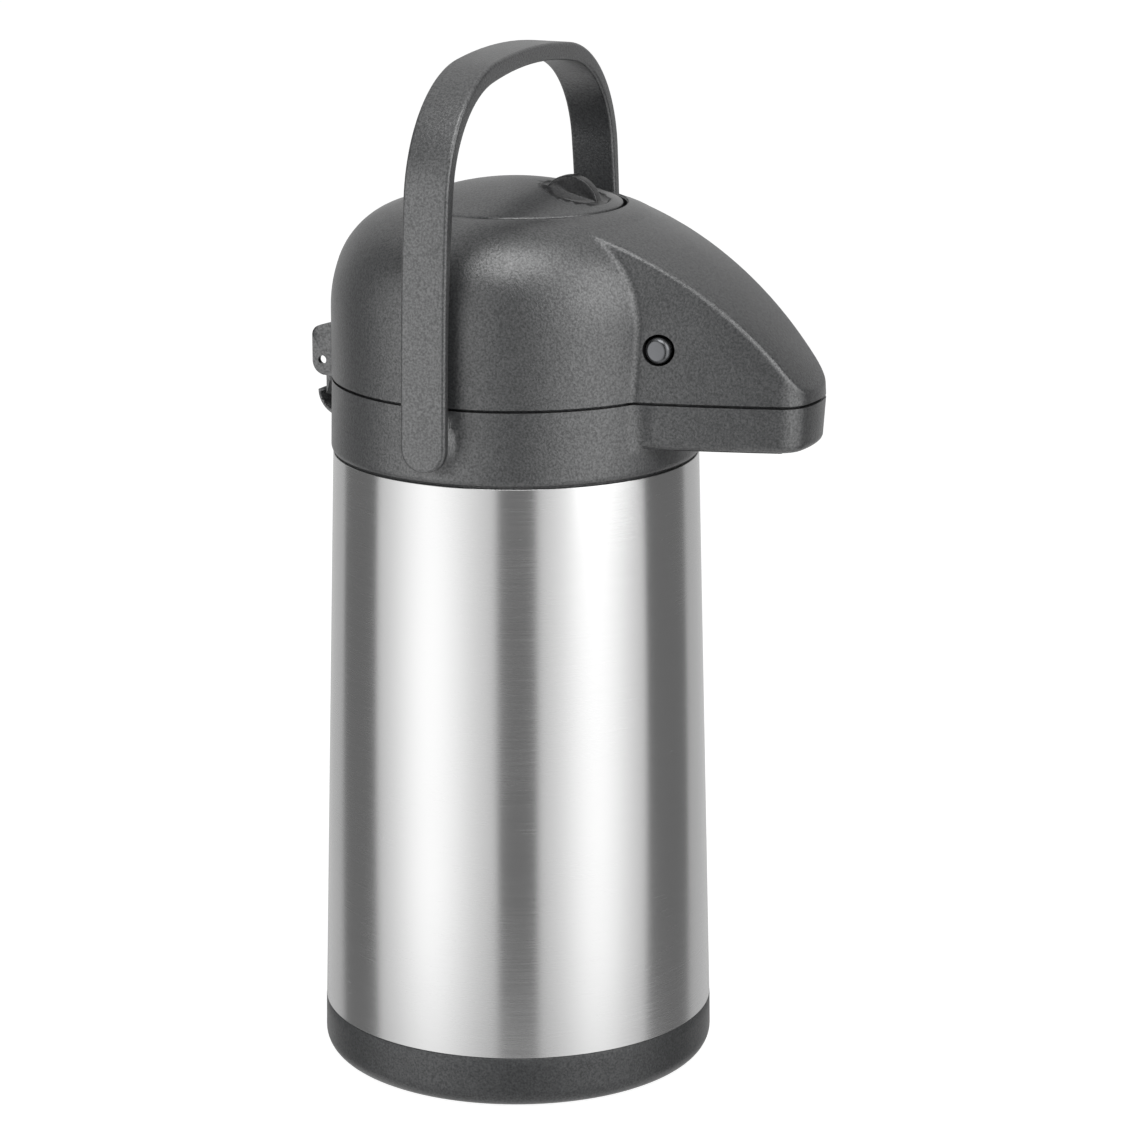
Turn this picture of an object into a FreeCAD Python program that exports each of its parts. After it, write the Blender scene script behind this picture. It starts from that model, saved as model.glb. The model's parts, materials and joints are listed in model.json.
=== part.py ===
import FreeCAD, Part
import math
import os

from FreeCAD import Vector

# A pump vacuum jug of about three litres, in millimetres.
# z is measured from the table, the spout points along +X and the lid is hinged at -X.

axis_z = Vector(0, 0, 1)
axis_y = Vector(0, 1, 0)
axis_x = Vector(1, 0, 0)

# Base
base_radius = 83.4
base_edge_round = 8.5
base_height = 23.0
base_rim_chamfer = 0.5
base_wall = 3.0
base_floor = 3.0
base_recess = 1.2
base_foot_width = 14.0
base_inner_round = 6.0
cap_radius = 41.7
cap_edge_round = 1.0
cap_thickness = 10.0
cap_thread_wall = 3.0
cap_grip_width = 14.0
cap_grip_depth = 7.0
cap_grip_border = 8.0

# Steel casing
casing_inset = 0.4
casing_taper = 6.43
casing_height = 240.2
casing_wall = 0.6
casing_lap = 8.0

# Vacuum flask
flask_wall = 0.8
flask_air_gap = 2.47
flask_vacuum_gap = 3.2
flask_floor_gap = 6.2
flask_bottom_round = 14.0
flask_neck_height = 24.0
flask_shoulder_round = 20.0
flask_shoulder_rise = 16.0
flask_neck_round = 5.0
flask_neck_bore = 30.0
flask_neck_gap = 2.0
flask_rim_rise = 6.8
cushion_width = 13.0
cushion_height = 19.8

# Collar and lower half of the beak
collar_height = 31.7
collar_overhang = 0.83
collar_taper = 0.7
collar_edge_round = 3.5
collar_wall = 2.4
deck_drop = 4.7
deck_thickness = 2.2
seam_gap = 1.2
jaw_depth = 19.4
jaw_draft = 4.0
jaw_edge_round = 4.2
jaw_floor = 2.0

# Plan of the beak at the seam
beak_reach = 57.9
beak_end_radius = 60.0
beak_corner_radius = 13.0
beak_side_radius = 520.0
beak_back_half_width = 39.5
beak_front_half_width = 21.1
beak_front_inset = 12.8
beak_root_inset = 1.0
beak_start_inset = 15.0

# Upper half of the beak: the crest is an arc in the middle plane
crest_back_rise = 43.8
crest_blank_rise = 25.0
crest_middle_rise = 18.4
crest_middle_inset = 40.6
crest_front_rise = 7.4
crest_front_inset = 1.8
crest_crown_radius = 145.0
beak_draft = 3.2
beak_edge_round = 3.0
beak_valley_round = 5.0

# Lid dome
lid_wall_height = 28.9
shoulder_radius_low = 60.0
shoulder_turn_low = 20.0
shoulder_radius_high = 36.0
shoulder_turn_high = 88.0
lid_wall = 2.4
sleeve_wall = 1.8
sleeve_clearance = 3.3

# Underplate that closes the lid
underplate_rise = 2.6
underplate_thickness = 2.2
underplate_rim_drop = 5.7
underplate_rim_wall = 1.6
lid_screw_inset = 14.7
lid_boss_radius = 3.6
lid_screw_radius = 1.4
lid_screw_head_radius = 3.0
lid_screw_head = 1.6
lid_screw_length = 14.0

# Mouth ring and seals
mouth_wall = 6.5
mouth_flange_width = 4.0
mouth_flange_thickness = 2.5
mouth_lip_rise = 2.8
mouth_lip_round = 1.0
mouth_lip_slope = 2.5
mouth_lip_fall = 2.0
neck_gasket_thickness = 1.5
lid_gasket_width = 5.0
lid_gasket_inset = 0.7
valve_radius = 14.0
valve_thickness = 1.2
valve_edge = 0.5
valve_stem_radius = 2.0
valve_button_radius = 2.8
valve_button = 1.2
air_hole_radius = 2.6
air_hole_circle = 8.5
air_hole_count = 6

# Water path
pipe_radius = 4.0
pipe_bore = 3.0
riser_bend = 8.0
riser_foot_gap = 6.0
riser_notch = 3.0
socket_wall = 1.0
socket_depth = 8.0
seal_wall = 1.2
seal_flange = 0.8
nozzle_inset = 18.6
nozzle_drop = 0.6
cover_offset = 6.3
cover_front_inset = 9.6
cover_thickness = 1.8
cover_screw_inset = 11.0
cover_screw_y = 15.0
cover_screw_radius = 1.3
cover_screw_head_radius = 2.8
cover_screw_head = 1.0
cover_post_radius = 3.2

# Hinge at the back
hinge_drop = 2.4
hinge_inset = 8.3
hinge_pin_radius = 1.5
lug_radius = 3.6
lug_inner_y = 4.2
lug_outer_y = 9.8
knuckle_radius = 3.2
ear_y = 12.0
ear_thickness = 2.4
ear_overhang = 12.1
ear_rise = 19.3
ear_corner_drop = 4.2
ear_corner_round = 4.5
ear_foot_drop = 5.1
ear_foot_round = 6.0
ear_hole_inset = 4.6
ear_hole_rise = 1.4
ear_hole_radius = 1.9
scoop_half_width = 8.0
scoop_overhang = 0.2
scoop_lip_drop = 12.5
scoop_step = 1.8
scoop_depth = 11.1
scoop_rim = 1.4
scoop_web = 4.0

# Bail handle
handle_width = 19.7
handle_overhang = 11.97
handle_thickness = 4.91
handle_pivot_drop = 14.4
handle_foot_drop = 12.5
handle_outer_lean = 1.54
handle_outer_arm_length = 50.8
handle_outer_bow_radius = 900.0
handle_outer_bow_angle = 3.88
handle_outer_corner_radius = 55.5
handle_outer_corner_angle = 77.47
handle_inner_lean = 1.03
handle_inner_arm_length = 38.0
handle_inner_bow_radius = 590.0
handle_inner_bow_angle = 7.52
handle_inner_corner_radius = 45.2
handle_inner_corner_angle = 71.19
handle_edge_round = 1.6
handle_boss_radius = 8.5
handle_boss_gap = 0.5
handle_boss_root = 4.0
handle_pin_radius = 4.0
handle_pin_head_radius = 6.0
handle_pin_head = 2.4
handle_pin_seat = 2.6

# Press plate and pump
plate_inset = 32.2
plate_gap = 1.5
plate_crown_rise = 53.2
plate_crown_radius = 109.0
plate_wall = 2.2
plate_skirt = 34.0
plate_edge_round = 1.2
pump_head_inset = 10.5
pump_head_gap = 2.65575
pump_head_thickness = 3.0
pump_post_gap = 7.0
pump_post_wall = 2.0
pump_air_hole = 2.0
bellows_inset = 6.5
bellows_depth = 7.0
bellows_wall = 1.2
bellows_folds = 5
spring_radius = 17.0
spring_wire = 2.0
spring_turns = 5

# Lock knob in the press plate
knob_inset = 17.5
knob_radius = 14.0
knob_disc = 2.0
knob_sink = 1.2
knob_seat = 2.2
fin_length = 23.0
fin_height = 7.4
fin_thickness = 5.2
fin_edge_round = 0.9
stem_radius = 4.5
stem_length = 8.0
cam_radius = 7.0
cam_reach = 12.5
cam_width = 6.0
cam_thickness = 2.4

# Release buttons in the sides of the beak
button_offset = 1.0
button_rise = 21.9
button_radius = 5.4
button_hole_radius = 6.4
button_face_stand = 2.48387
button_edge_round = 2.2
button_flange_radius = 7.6
button_flange_depth = 8.1
button_flange = 2.0
button_stem_depth = 14.4
button_stem_radius = 2.0
button_travel = 2.5
latch_width = 6.0
latch_depth = 10.9
latch_thickness = 3.0
latch_nose = 1.5
latch_nose_height = 3.0
latch_nose_gap = 0.5

# Clearances
seat_gap = 0.15
running_gap = 0.05
free_gap = 0.3
wide_gap = 1.5

# Heights, each from the one below it
cushion_bottom = base_recess + base_floor
flask_outer_floor = cushion_bottom + cushion_height
flask_inner_floor = flask_outer_floor + flask_wall + flask_floor_gap
riser_bottom = flask_inner_floor + riser_foot_gap
collar_bottom = base_height + casing_height
flask_rim_height = collar_bottom + flask_rim_rise
flask_shoulder = flask_rim_height - flask_neck_height
seam_height = collar_bottom + collar_height
collar_top = seam_height - seam_gap / 2
lid_bottom = seam_height + seam_gap / 2
deck_top = seam_height - deck_drop
deck_bottom = deck_top - deck_thickness
jaw_underside = seam_height - jaw_depth
mouth_lip_top = deck_top + mouth_lip_rise
pipe_height = deck_bottom - seat_gap - seal_wall - pipe_radius
underplate_bottom = seam_height + underplate_rise
underplate_top = underplate_bottom + underplate_thickness
sleeve_bottom = underplate_top + sleeve_clearance
hinge_z = seam_height - hinge_drop
ear_top = seam_height + ear_rise
ear_corner_z = ear_top - ear_corner_drop
ear_bottom = seam_height - ear_foot_drop
ear_hole_z = seam_height + ear_hole_rise
scoop_lip_z = seam_height - scoop_lip_drop
scoop_step_z = scoop_lip_z + scoop_step
scoop_bottom_z = scoop_lip_z - scoop_depth
handle_pivot_z = seam_height - handle_pivot_drop
handle_foot_z = handle_pivot_z - handle_foot_drop
dome_wall_top = seam_height + lid_wall_height
plate_crown_top = dome_wall_top + plate_crown_rise
button_z = seam_height + button_rise
latch_bottom = deck_bottom - latch_nose_gap - latch_nose_height

# Radii, each from the one outside it
casing_low_radius = base_radius - casing_inset
casing_high_radius = casing_low_radius - casing_taper
flask_outer_radius = casing_high_radius - casing_wall - flask_air_gap
flask_inner_radius = flask_outer_radius - flask_wall - flask_vacuum_gap
collar_low_radius = casing_high_radius + collar_overhang
dome_radius = collar_low_radius - collar_taper
plate_radius = dome_radius - plate_inset
plate_hole_radius = plate_radius + plate_gap
pump_head_radius = plate_radius - pump_head_inset
bellows_radius = plate_radius - bellows_inset
lid_screw_circle = dome_radius - lid_screw_inset
mouth_outer_radius = flask_neck_bore + mouth_wall
mouth_flange_radius = mouth_outer_radius + mouth_flange_width

# Places along the beak, at the hinge and at the handle
beak_end = dome_radius + beak_reach
beak_start = plate_hole_radius - beak_start_inset
beak_root_x = plate_hole_radius - beak_root_inset
beak_front_x = beak_end - beak_front_inset
nozzle_x = beak_end - nozzle_inset
cover_from = dome_radius + cover_offset
cover_to = beak_end - cover_front_inset
cover_screw_x = cover_from + cover_screw_inset
riser_offset = flask_neck_bore - riser_bend
ear_reach = dome_radius + ear_overhang
ear_hole_x = ear_hole_inset - ear_reach
hinge_x = hinge_inset - ear_reach
scoop_reach = ear_reach + scoop_overhang
handle_outer_foot_y = collar_low_radius + handle_overhang
handle_inner_foot_y = handle_outer_foot_y - handle_thickness
knob_x = plate_radius - knob_inset
pump_post_radius = knob_x - cam_radius - pump_post_gap
button_x = dome_radius + button_offset

# The pump head hangs clear of the lowest point of the lock's cam
knob_tilt = math.asin(knob_x / plate_crown_radius)
knob_seat_z = plate_crown_top - plate_crown_radius * (1 - math.cos(knob_tilt))
cam_depth = knob_sink + knob_disc + stem_length
cam_low_z = knob_seat_z - cam_depth * math.cos(knob_tilt) - cam_reach * math.sin(knob_tilt)
pump_top = cam_low_z - pump_head_gap
pump_head_bottom = pump_top - pump_head_thickness


def in_xz(point):
    return Vector(point.x, 0, point.y)


def line(first, last):
    return Part.LineSegment(first, last).toShape()


def arc(first, middle, last):
    return Part.Arc(first, middle, last).toShape()


def rounded_wire(corners, place):
    """A closed wire through corners (u, v) or (u, v, radius), each rounded by its radius."""
    spots = [Vector(corner[0], corner[1], 0) for corner in corners]
    turns = []
    for index, corner in enumerate(corners):
        here = spots[index]
        radius = corner[2] if len(corner) > 2 else 0
        if radius == 0:
            turns.append((here, None, here))
            continue
        back = (spots[index - 1] - here).normalize()
        ahead = (spots[(index + 1) % len(spots)] - here).normalize()
        half = back.getAngle(ahead) / 2
        reach = radius / math.tan(half)
        middle = here + (back + ahead).normalize() * (radius / math.sin(half) - radius)
        turns.append((here + back * reach, middle, here + ahead * reach))
    edges = []
    for index, (first, middle, last) in enumerate(turns):
        if middle:
            edges.append(arc(place(first), place(middle), place(last)))
        following = turns[(index + 1) % len(turns)][0]
        if last.distanceToPoint(following) > 1e-6:
            edges.append(line(place(last), place(following)))
    return Part.Wire(edges)


def ring(*corners):
    """A body of revolution about the jug's axis from its half section (radius, height)."""
    section = Part.Face(rounded_wire(corners, in_xz))
    return section.revolve(Vector(0, 0, 0), axis_z, 360)


def slab_along_y(corners, low, high):
    """An outline in the XZ plane carried from y = low to y = high."""
    section = Part.Face(rounded_wire(corners, in_xz))
    section.translate(Vector(0, low, 0))
    return section.extrude(Vector(0, high - low, 0))


def rod_z(radius, low, high, x=0.0, y=0.0):
    return Part.makeCylinder(radius, high - low, Vector(x, y, low), axis_z)


def rod_x(radius, low, high, z):
    return Part.makeCylinder(radius, high - low, Vector(low, 0, z), axis_x)


def rod_y(radius, low, high, x, z):
    return Part.makeCylinder(radius, high - low, Vector(x, low, z), axis_y)


def box(low, high):
    size = high - low
    return Part.makeBox(size.x, size.y, size.z, low)


def mirrored(shape):
    return shape.mirror(Vector(0, 0, 0), axis_y)


def on_side(shape, side):
    """The shape as it is for the left side (+Y), mirrored for the right side."""
    return shape if side > 0 else mirrored(shape)


def round_edges(shape, radius, wanted):
    return shape.makeFillet(radius, [edge for edge in shape.Edges if wanted(edge)])


def level(edge, height):
    """Whether an edge lies flat at a height."""
    bounds = edge.BoundBox
    return abs(bounds.ZMin - height) < 0.01 and abs(bounds.ZMax - height) < 0.01


def tangent_point(centre, towards, radius):
    return centre + (towards - centre).normalize() * radius


def beak_side_centre():
    """Centre of the long flat arc along the beak's left side, in plan."""
    start = Vector(beak_root_x, beak_back_half_width, 0)
    stop = Vector(beak_front_x, beak_front_half_width, 0)
    chord = stop - start
    outward = Vector(-chord.y, chord.x, 0).normalize()
    drop = math.sqrt(beak_side_radius**2 - (chord.Length / 2) ** 2)
    return (start + stop) / 2 - outward * drop


def beak_side_y(x, inset):
    """How far the beak's side stands from the middle plane, drawn in by inset."""
    centre = beak_side_centre()
    return centre.y + math.sqrt((beak_side_radius - inset) ** 2 - (x - centre.x) ** 2)


def beak_outline(height, inset, back=beak_start):
    """The beak's plan at a height, drawn in by inset: two long side arcs, corners and end."""
    side_centre = beak_side_centre()
    end_centre = Vector(beak_end - beak_end_radius, 0, 0)

    # the corner's centre lies at a known distance from the other two
    reach_side = beak_side_radius - beak_corner_radius
    reach_end = beak_end_radius - beak_corner_radius
    between = end_centre - side_centre
    along = (reach_side**2 - reach_end**2 + between.Length**2) / (2 * between.Length)
    across = math.sqrt(reach_side**2 - along**2)
    forward = Vector(between).normalize()
    sideways = Vector(forward.y, -forward.x, 0)
    corner_centre = side_centre + forward * along + sideways * across

    side_radius = beak_side_radius - inset
    side_back = Vector(back, beak_side_y(back, inset), 0)
    side_front = tangent_point(side_centre, corner_centre, side_radius)
    side_middle = tangent_point(side_centre, (side_back + side_front) / 2, side_radius)
    corner_front = tangent_point(end_centre, corner_centre, beak_end_radius - inset)
    corner_radius = beak_corner_radius - inset
    corner_middle = tangent_point(corner_centre, (side_front + corner_front) / 2, corner_radius)
    tip = Vector(beak_end - inset, 0, 0)

    lift = Vector(0, 0, height)
    left = [p + lift for p in (side_back, side_middle, side_front, corner_middle, corner_front)]
    right_side = [Vector(p.x, -p.y, p.z) for p in left]
    return Part.Wire([
        line(right_side[0], left[0]),
        arc(left[0], left[1], left[2]),
        arc(left[2], left[3], left[4]),
        arc(left[4], tip + lift, right_side[4]),
        arc(right_side[4], right_side[3], right_side[2]),
        arc(right_side[2], right_side[1], right_side[0]),
    ])


def beak_prism(low, high, inset_low, inset_high, back=beak_start):
    """The beak's plan carried up from low to high, with its own inset at each level."""
    if abs(inset_low - inset_high) < 1e-6:
        face = Part.Face(beak_outline(low, inset_low, back))
        return face.extrude(Vector(0, 0, high - low))
    levels = [beak_outline(low, inset_low, back), beak_outline(high, inset_high, back)]
    return Part.makeLoft(levels, True, True)


def footprint(low, high, inset):
    """Dome circle and beak plan in one, straight up from low to high."""
    return rod_z(dome_radius - inset, low, high).fuse(beak_prism(low, high, inset, inset))


def draft_at(height):
    return (height - seam_height) * math.tan(math.radians(beak_draft))


def casing_radius(height):
    share = (height - base_height) / (collar_bottom - base_height)
    return casing_low_radius + (casing_high_radius - casing_low_radius) * share


# Base

def make_base_cup():
    foot_inner = base_radius - base_edge_round - base_foot_width
    cap_hole = cap_radius + free_gap
    neck_radius = cap_hole + cap_thread_wall
    flange_top = base_height + casing_lap
    flange_radius = casing_radius(flange_top) - casing_wall - seat_gap
    return ring(
        (cap_hole, 0),
        (neck_radius, 0),
        (neck_radius, base_recess),
        (foot_inner, base_recess),
        (foot_inner, 0),
        (base_radius, 0, base_edge_round),
        (base_radius - free_gap, base_height - base_rim_chamfer),
        (base_radius - free_gap - base_rim_chamfer, base_height),
        (flange_radius, base_height),
        (flange_radius, flange_top),
        (flange_radius - base_wall / 2, flange_top),
        (flange_radius - base_wall / 2, cushion_bottom, base_inner_round),
        (neck_radius, cushion_bottom),
        (neck_radius, cap_thickness + base_floor),
        (cap_hole, cap_thickness + base_floor),
    )


def make_base_cap():
    cap = ring(
        (0, 0),
        (cap_radius, 0, cap_edge_round),
        (cap_radius, cap_thickness, cap_edge_round),
        (0, cap_thickness),
    )
    pocket = rod_z(cap_radius - cap_grip_border, -1, cap_grip_depth)
    half_bar = cap_grip_width / 2
    low = Vector(-cap_radius, -half_bar, -2)
    bar = box(low, Vector(cap_radius, half_bar, cap_grip_depth + 1))
    return cap.cut(pocket.cut(bar))


def make_flask_cushion():
    inner = cap_radius + free_gap + cap_thread_wall + wide_gap
    return ring(
        (inner, cushion_bottom),
        (inner + cushion_width, cushion_bottom),
        (inner + cushion_width, flask_outer_floor),
        (inner, flask_outer_floor),
    )


# Body

def make_outer_casing():
    low, high = base_height, collar_bottom
    return ring(
        (casing_radius(low) - casing_wall, low),
        (casing_radius(low), low),
        (casing_radius(high), high),
        (casing_radius(high) - casing_wall, high),
    )


def flask_body(radius, floor, shoulder, neck_radius, top, shrink):
    """A bottle's outside: straight wall, domed shoulder and neck, drawn in by shrink."""
    return ring(
        (0, floor + shrink),
        (radius - shrink, floor + shrink, flask_bottom_round - shrink),
        (radius - shrink, shoulder, flask_shoulder_round - shrink),
        (neck_radius - shrink, shoulder + flask_shoulder_rise - shrink, flask_neck_round),
        (neck_radius - shrink, top),
        (0, top),
    )


def make_flask_outer_wall():
    neck = flask_neck_bore + flask_wall + flask_neck_gap + flask_wall
    top = flask_rim_height - flask_wall
    sizes = (flask_outer_radius, flask_outer_floor, flask_shoulder, neck)
    return flask_body(*sizes, top, 0).cut(flask_body(*sizes, top + 1, flask_wall))


def make_flask_inner_wall():
    neck = flask_neck_bore + flask_wall
    # a lower shoulder keeps the two walls apart
    shoulder = flask_shoulder - flask_neck_gap - (flask_outer_radius - flask_inner_radius)
    sizes = (flask_inner_radius, flask_inner_floor, shoulder, neck)
    inside = flask_body(*sizes, flask_rim_height + 1, flask_wall)
    shell = flask_body(*sizes, flask_rim_height, 0).cut(inside)
    lip_radius = neck + flask_neck_gap + flask_wall
    lip = ring(
        (flask_neck_bore, flask_rim_height - flask_wall),
        (lip_radius, flask_rim_height - flask_wall),
        (lip_radius, flask_rim_height),
        (flask_neck_bore, flask_rim_height),
    )
    return shell.fuse(lip).removeSplitter()


def make_neck_gasket():
    outer = mouth_outer_radius - wide_gap
    return ring(
        (flask_neck_bore, flask_rim_height),
        (outer, flask_rim_height),
        (outer, flask_rim_height + neck_gasket_thickness),
        (flask_neck_bore, flask_rim_height + neck_gasket_thickness),
    )


def make_mouth_ring():
    low = flask_rim_height + neck_gasket_thickness
    flange_low = deck_bottom - mouth_flange_thickness
    body = ring(
        (flask_neck_bore, low),
        (mouth_outer_radius, low),
        (mouth_outer_radius, flange_low),
        (mouth_flange_radius, flange_low),
        (mouth_flange_radius, deck_bottom),
        (mouth_outer_radius, deck_bottom),
        (mouth_outer_radius, mouth_lip_top - mouth_lip_fall, mouth_lip_round),
        (mouth_outer_radius - mouth_lip_slope, mouth_lip_top, mouth_lip_round),
        (flask_neck_bore, mouth_lip_top, mouth_lip_round),
    )
    seal_radius = pipe_radius + seal_wall
    return body.cut(rod_x(seal_radius, 0, mouth_flange_radius + 1, pipe_height))


# Collar with the lower half of the beak

def make_collar():
    flange_radius = casing_high_radius - casing_wall - seat_gap
    flange_low = collar_bottom - casing_lap
    outside = ring(
        (0, collar_bottom),
        (collar_low_radius, collar_bottom, collar_edge_round),
        (dome_radius, collar_top),
        (0, collar_top),
    )
    jaw_inset = (collar_top - jaw_underside) * math.tan(math.radians(jaw_draft))
    jaw = beak_prism(jaw_underside, collar_top, jaw_inset, 0)
    jaw = round_edges(jaw, jaw_edge_round, lambda edge: level(edge, jaw_underside)
                      and edge.BoundBox.XMax > beak_start + 1)
    outside = outside.fuse([jaw, ring(
        (0, flange_low),
        (flange_radius, flange_low),
        (flange_radius, collar_bottom + collar_edge_round),
        (0, collar_bottom + collar_edge_round),
    )])

    # room below the deck, inside the jaw and above the deck
    inner_radius = flange_radius - collar_wall
    low_room = ring(
        (0, flange_low - 1),
        (inner_radius, flange_low - 1),
        (inner_radius, deck_bottom, 2.0),
        (0, deck_bottom),
    )
    jaw_low = jaw_underside + jaw_floor
    jaw_room = beak_prism(jaw_low, deck_bottom, jaw_inset + collar_wall, jaw_inset + collar_wall)
    top_room = footprint(deck_top, collar_top + 1, collar_wall)
    mouth_hole = rod_z(mouth_outer_radius + seat_gap, deck_bottom - 1, deck_top + 1)
    cover_hole = beak_prism(
        jaw_underside - 1, jaw_low + 1, jaw_inset + collar_wall, jaw_inset + collar_wall, cover_from
    ).common(cover_window(cover_from, cover_to))
    body = outside.cut([low_room, jaw_room, top_room, mouth_hole, cover_hole])

    additions = []
    for side in (1, -1):
        boss_low = collar_low_radius - handle_boss_root
        boss = rod_y(handle_boss_radius, boss_low, boss_face_y(), 0, handle_pivot_z)
        additions.append(on_side(boss, side))
        post_place = (cover_screw_x, side * cover_screw_y)
        additions.append(rod_z(cover_post_radius, jaw_low, deck_bottom + 1, *post_place))
        additions.append(on_side(hinge_lug(), side))
    additions.append(hinge_scoop())
    body = body.fuse(additions)

    holes = []
    for side in (1, -1):
        bore_radius = handle_pin_radius + running_gap
        bore_low = inner_radius - handle_boss_root
        bore = rod_y(bore_radius, bore_low, boss_face_y() + 1, 0, handle_pivot_z)
        holes.append(on_side(bore, side))
        post_place = (cover_screw_x, side * cover_screw_y)
        holes.append(rod_z(cover_screw_radius, jaw_low - 1, deck_bottom - 1, *post_place))
        holes.append(on_side(latch_slot(deck_bottom - 1, deck_top + 1), side))
    pin_bore = rod_y(hinge_pin_radius, -lug_outer_y - 1, lug_outer_y + 1, hinge_x, hinge_z)
    return body.cut(holes + [pin_bore]).removeSplitter()


def cover_window(back, front):
    """The stretch of the jaw's floor that the spout cover closes, at its full width."""
    low = Vector(back, -beak_back_half_width, 0)
    return box(low, Vector(front, beak_back_half_width, seam_height))


def latch_slot(low, high):
    """The slot that the left latch passes through, with room for its travel."""
    half = latch_width / 2 + wide_gap
    inner_y = latch_y() - latch_thickness - button_travel - free_gap
    outer_y = latch_y() + latch_nose + free_gap
    return box(Vector(button_x - half, inner_y, low), Vector(button_x + half, outer_y, high))


def boss_face_y():
    """Where a handle boss ends, just short of the arm."""
    lean = math.tan(math.radians(handle_inner_lean))
    return handle_inner_foot_y - (handle_pivot_z - handle_foot_z) * lean - handle_boss_gap


def hinge_lug():
    """One of the two lugs that carry the hinge pin, between the lid's ears."""
    round_top = rod_y(lug_radius, lug_inner_y, lug_outer_y, hinge_x, hinge_z)
    stalk = slab_along_y(
        (
            (hinge_x - lug_radius, scoop_step_z - 3),
            (hinge_x - lug_radius, hinge_z),
            (hinge_x + lug_radius, hinge_z),
            (hinge_x + lug_radius + 2, hinge_z - 3),
            (hinge_x + lug_radius + 2, scoop_step_z - 3),
        ),
        lug_inner_y, lug_outer_y,
    )
    return round_top.fuse(stalk)


def scoop_outline(rim):
    """Quarter-round bracket under the hinge, drawn in by rim."""
    centre = Vector(-scoop_reach + (scoop_lip_z - scoop_bottom_z), 0, scoop_lip_z)
    radius = scoop_lip_z - scoop_bottom_z - rim
    root_x = -dome_radius + 2
    lip = centre + Vector(-radius, 0, 0)
    belly = centre + Vector(-radius, 0, -radius).normalize() * radius
    foot = centre + Vector(0, 0, -radius)
    root_low = Vector(root_x, 0, foot.z)
    root_high = Vector(root_x, 0, scoop_step_z + 2 - rim)
    step = Vector(hinge_x - lug_radius + rim, 0, scoop_step_z - rim)
    step_high = Vector(step.x, 0, root_high.z)
    lip_high = Vector(lip.x, 0, lip.z - rim / 2)
    return Part.Face(Part.Wire([
        arc(lip_high, belly, foot),
        line(foot, root_low),
        line(root_low, root_high),
        line(root_high, step_high),
        line(step_high, step),
        line(step, lip_high),
    ]))


def hinge_scoop():
    body = scoop_outline(0)
    body.translate(Vector(0, -scoop_half_width, 0))
    body = body.extrude(Vector(0, 2 * scoop_half_width, 0))
    pocket = scoop_outline(scoop_rim)
    pocket.translate(Vector(0, scoop_web / 2, 0))
    pocket = pocket.extrude(Vector(0, scoop_half_width, 0))
    skin = rod_z(collar_low_radius + 0.4, collar_bottom, seam_height)
    pocket = pocket.cut(skin)
    return body.cut([pocket, mirrored(pocket)])


# Water path

def pipe_along(edges, radius):
    """A round pipe along straight runs and arcs that meet smoothly."""
    path = Part.Wire(edges)
    start = path.Edges[0].firstVertex().Point
    direction = path.Edges[0].tangentAt(path.Edges[0].FirstParameter)
    section = Part.Wire([Part.makeCircle(radius, start, direction)])
    return path.makePipeShell([section], True, False)


def make_riser_tube():
    bend_start = Vector(riser_offset, 0, pipe_height - riser_bend)
    bend_end = Vector(riser_offset + riser_bend, 0, pipe_height)
    corner = Vector(riser_offset + riser_bend, 0, pipe_height - riser_bend)
    bend_middle = corner + Vector(-1, 0, 1).normalize() * riser_bend
    outlet = Vector(mouth_outer_radius + 1 + socket_depth, 0, pipe_height)
    path = [
        line(Vector(riser_offset, 0, riser_bottom), bend_start),
        arc(bend_start, bend_middle, bend_end),
        line(bend_end, outlet),
    ]
    tube = pipe_along(path, pipe_radius).cut(pipe_along(path, pipe_bore))
    # two notches let the last of the water in
    half_notch = riser_notch / 2
    notch_low = Vector(riser_offset - pipe_radius - 1, -half_notch, riser_bottom - 1)
    notch_high = Vector(riser_offset + pipe_radius + 1, half_notch, riser_bottom + riser_notch)
    return tube.cut(box(notch_low, notch_high))


def make_riser_seal():
    flange_end = mouth_outer_radius + seal_flange
    body = rod_x(pipe_radius + seal_wall, flask_neck_bore + seal_flange, flange_end, pipe_height)
    return body.cut(rod_x(pipe_radius, 0, flange_end + 1, pipe_height))


def make_discharge_pipe():
    socket_from = mouth_outer_radius + 1
    tube_from = socket_from + socket_depth
    socket_radius = pipe_radius + socket_wall
    body = rod_x(socket_radius, socket_from, tube_from + 2, pipe_height)
    body = body.fuse(rod_x(pipe_radius, tube_from, nozzle_x - socket_depth + 2, pipe_height))
    body = body.cut(rod_x(pipe_radius + running_gap, socket_from - 1, tube_from, pipe_height))
    return body.cut(rod_x(pipe_bore, tube_from - 1, nozzle_x, pipe_height))


def make_spout_nozzle():
    outer = pipe_radius + socket_wall
    low = jaw_underside - nozzle_drop
    body = rod_x(outer, nozzle_x - socket_depth - 4, nozzle_x, pipe_height)
    body = body.fuse([
        Part.makeSphere(outer, Vector(nozzle_x, 0, pipe_height)),
        rod_z(outer, low, pipe_height, nozzle_x),
    ])
    seat_end = nozzle_x - socket_depth + 2
    seat = rod_x(pipe_radius + running_gap, nozzle_x - socket_depth - 5, seat_end, pipe_height)
    bore = rod_x(pipe_bore, nozzle_x - socket_depth, nozzle_x, pipe_height)
    knee = Part.makeSphere(pipe_bore, Vector(nozzle_x, 0, pipe_height))
    drop = rod_z(pipe_bore, low - 1, pipe_height, nozzle_x)
    return body.cut([seat, bore, knee, drop])


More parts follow.
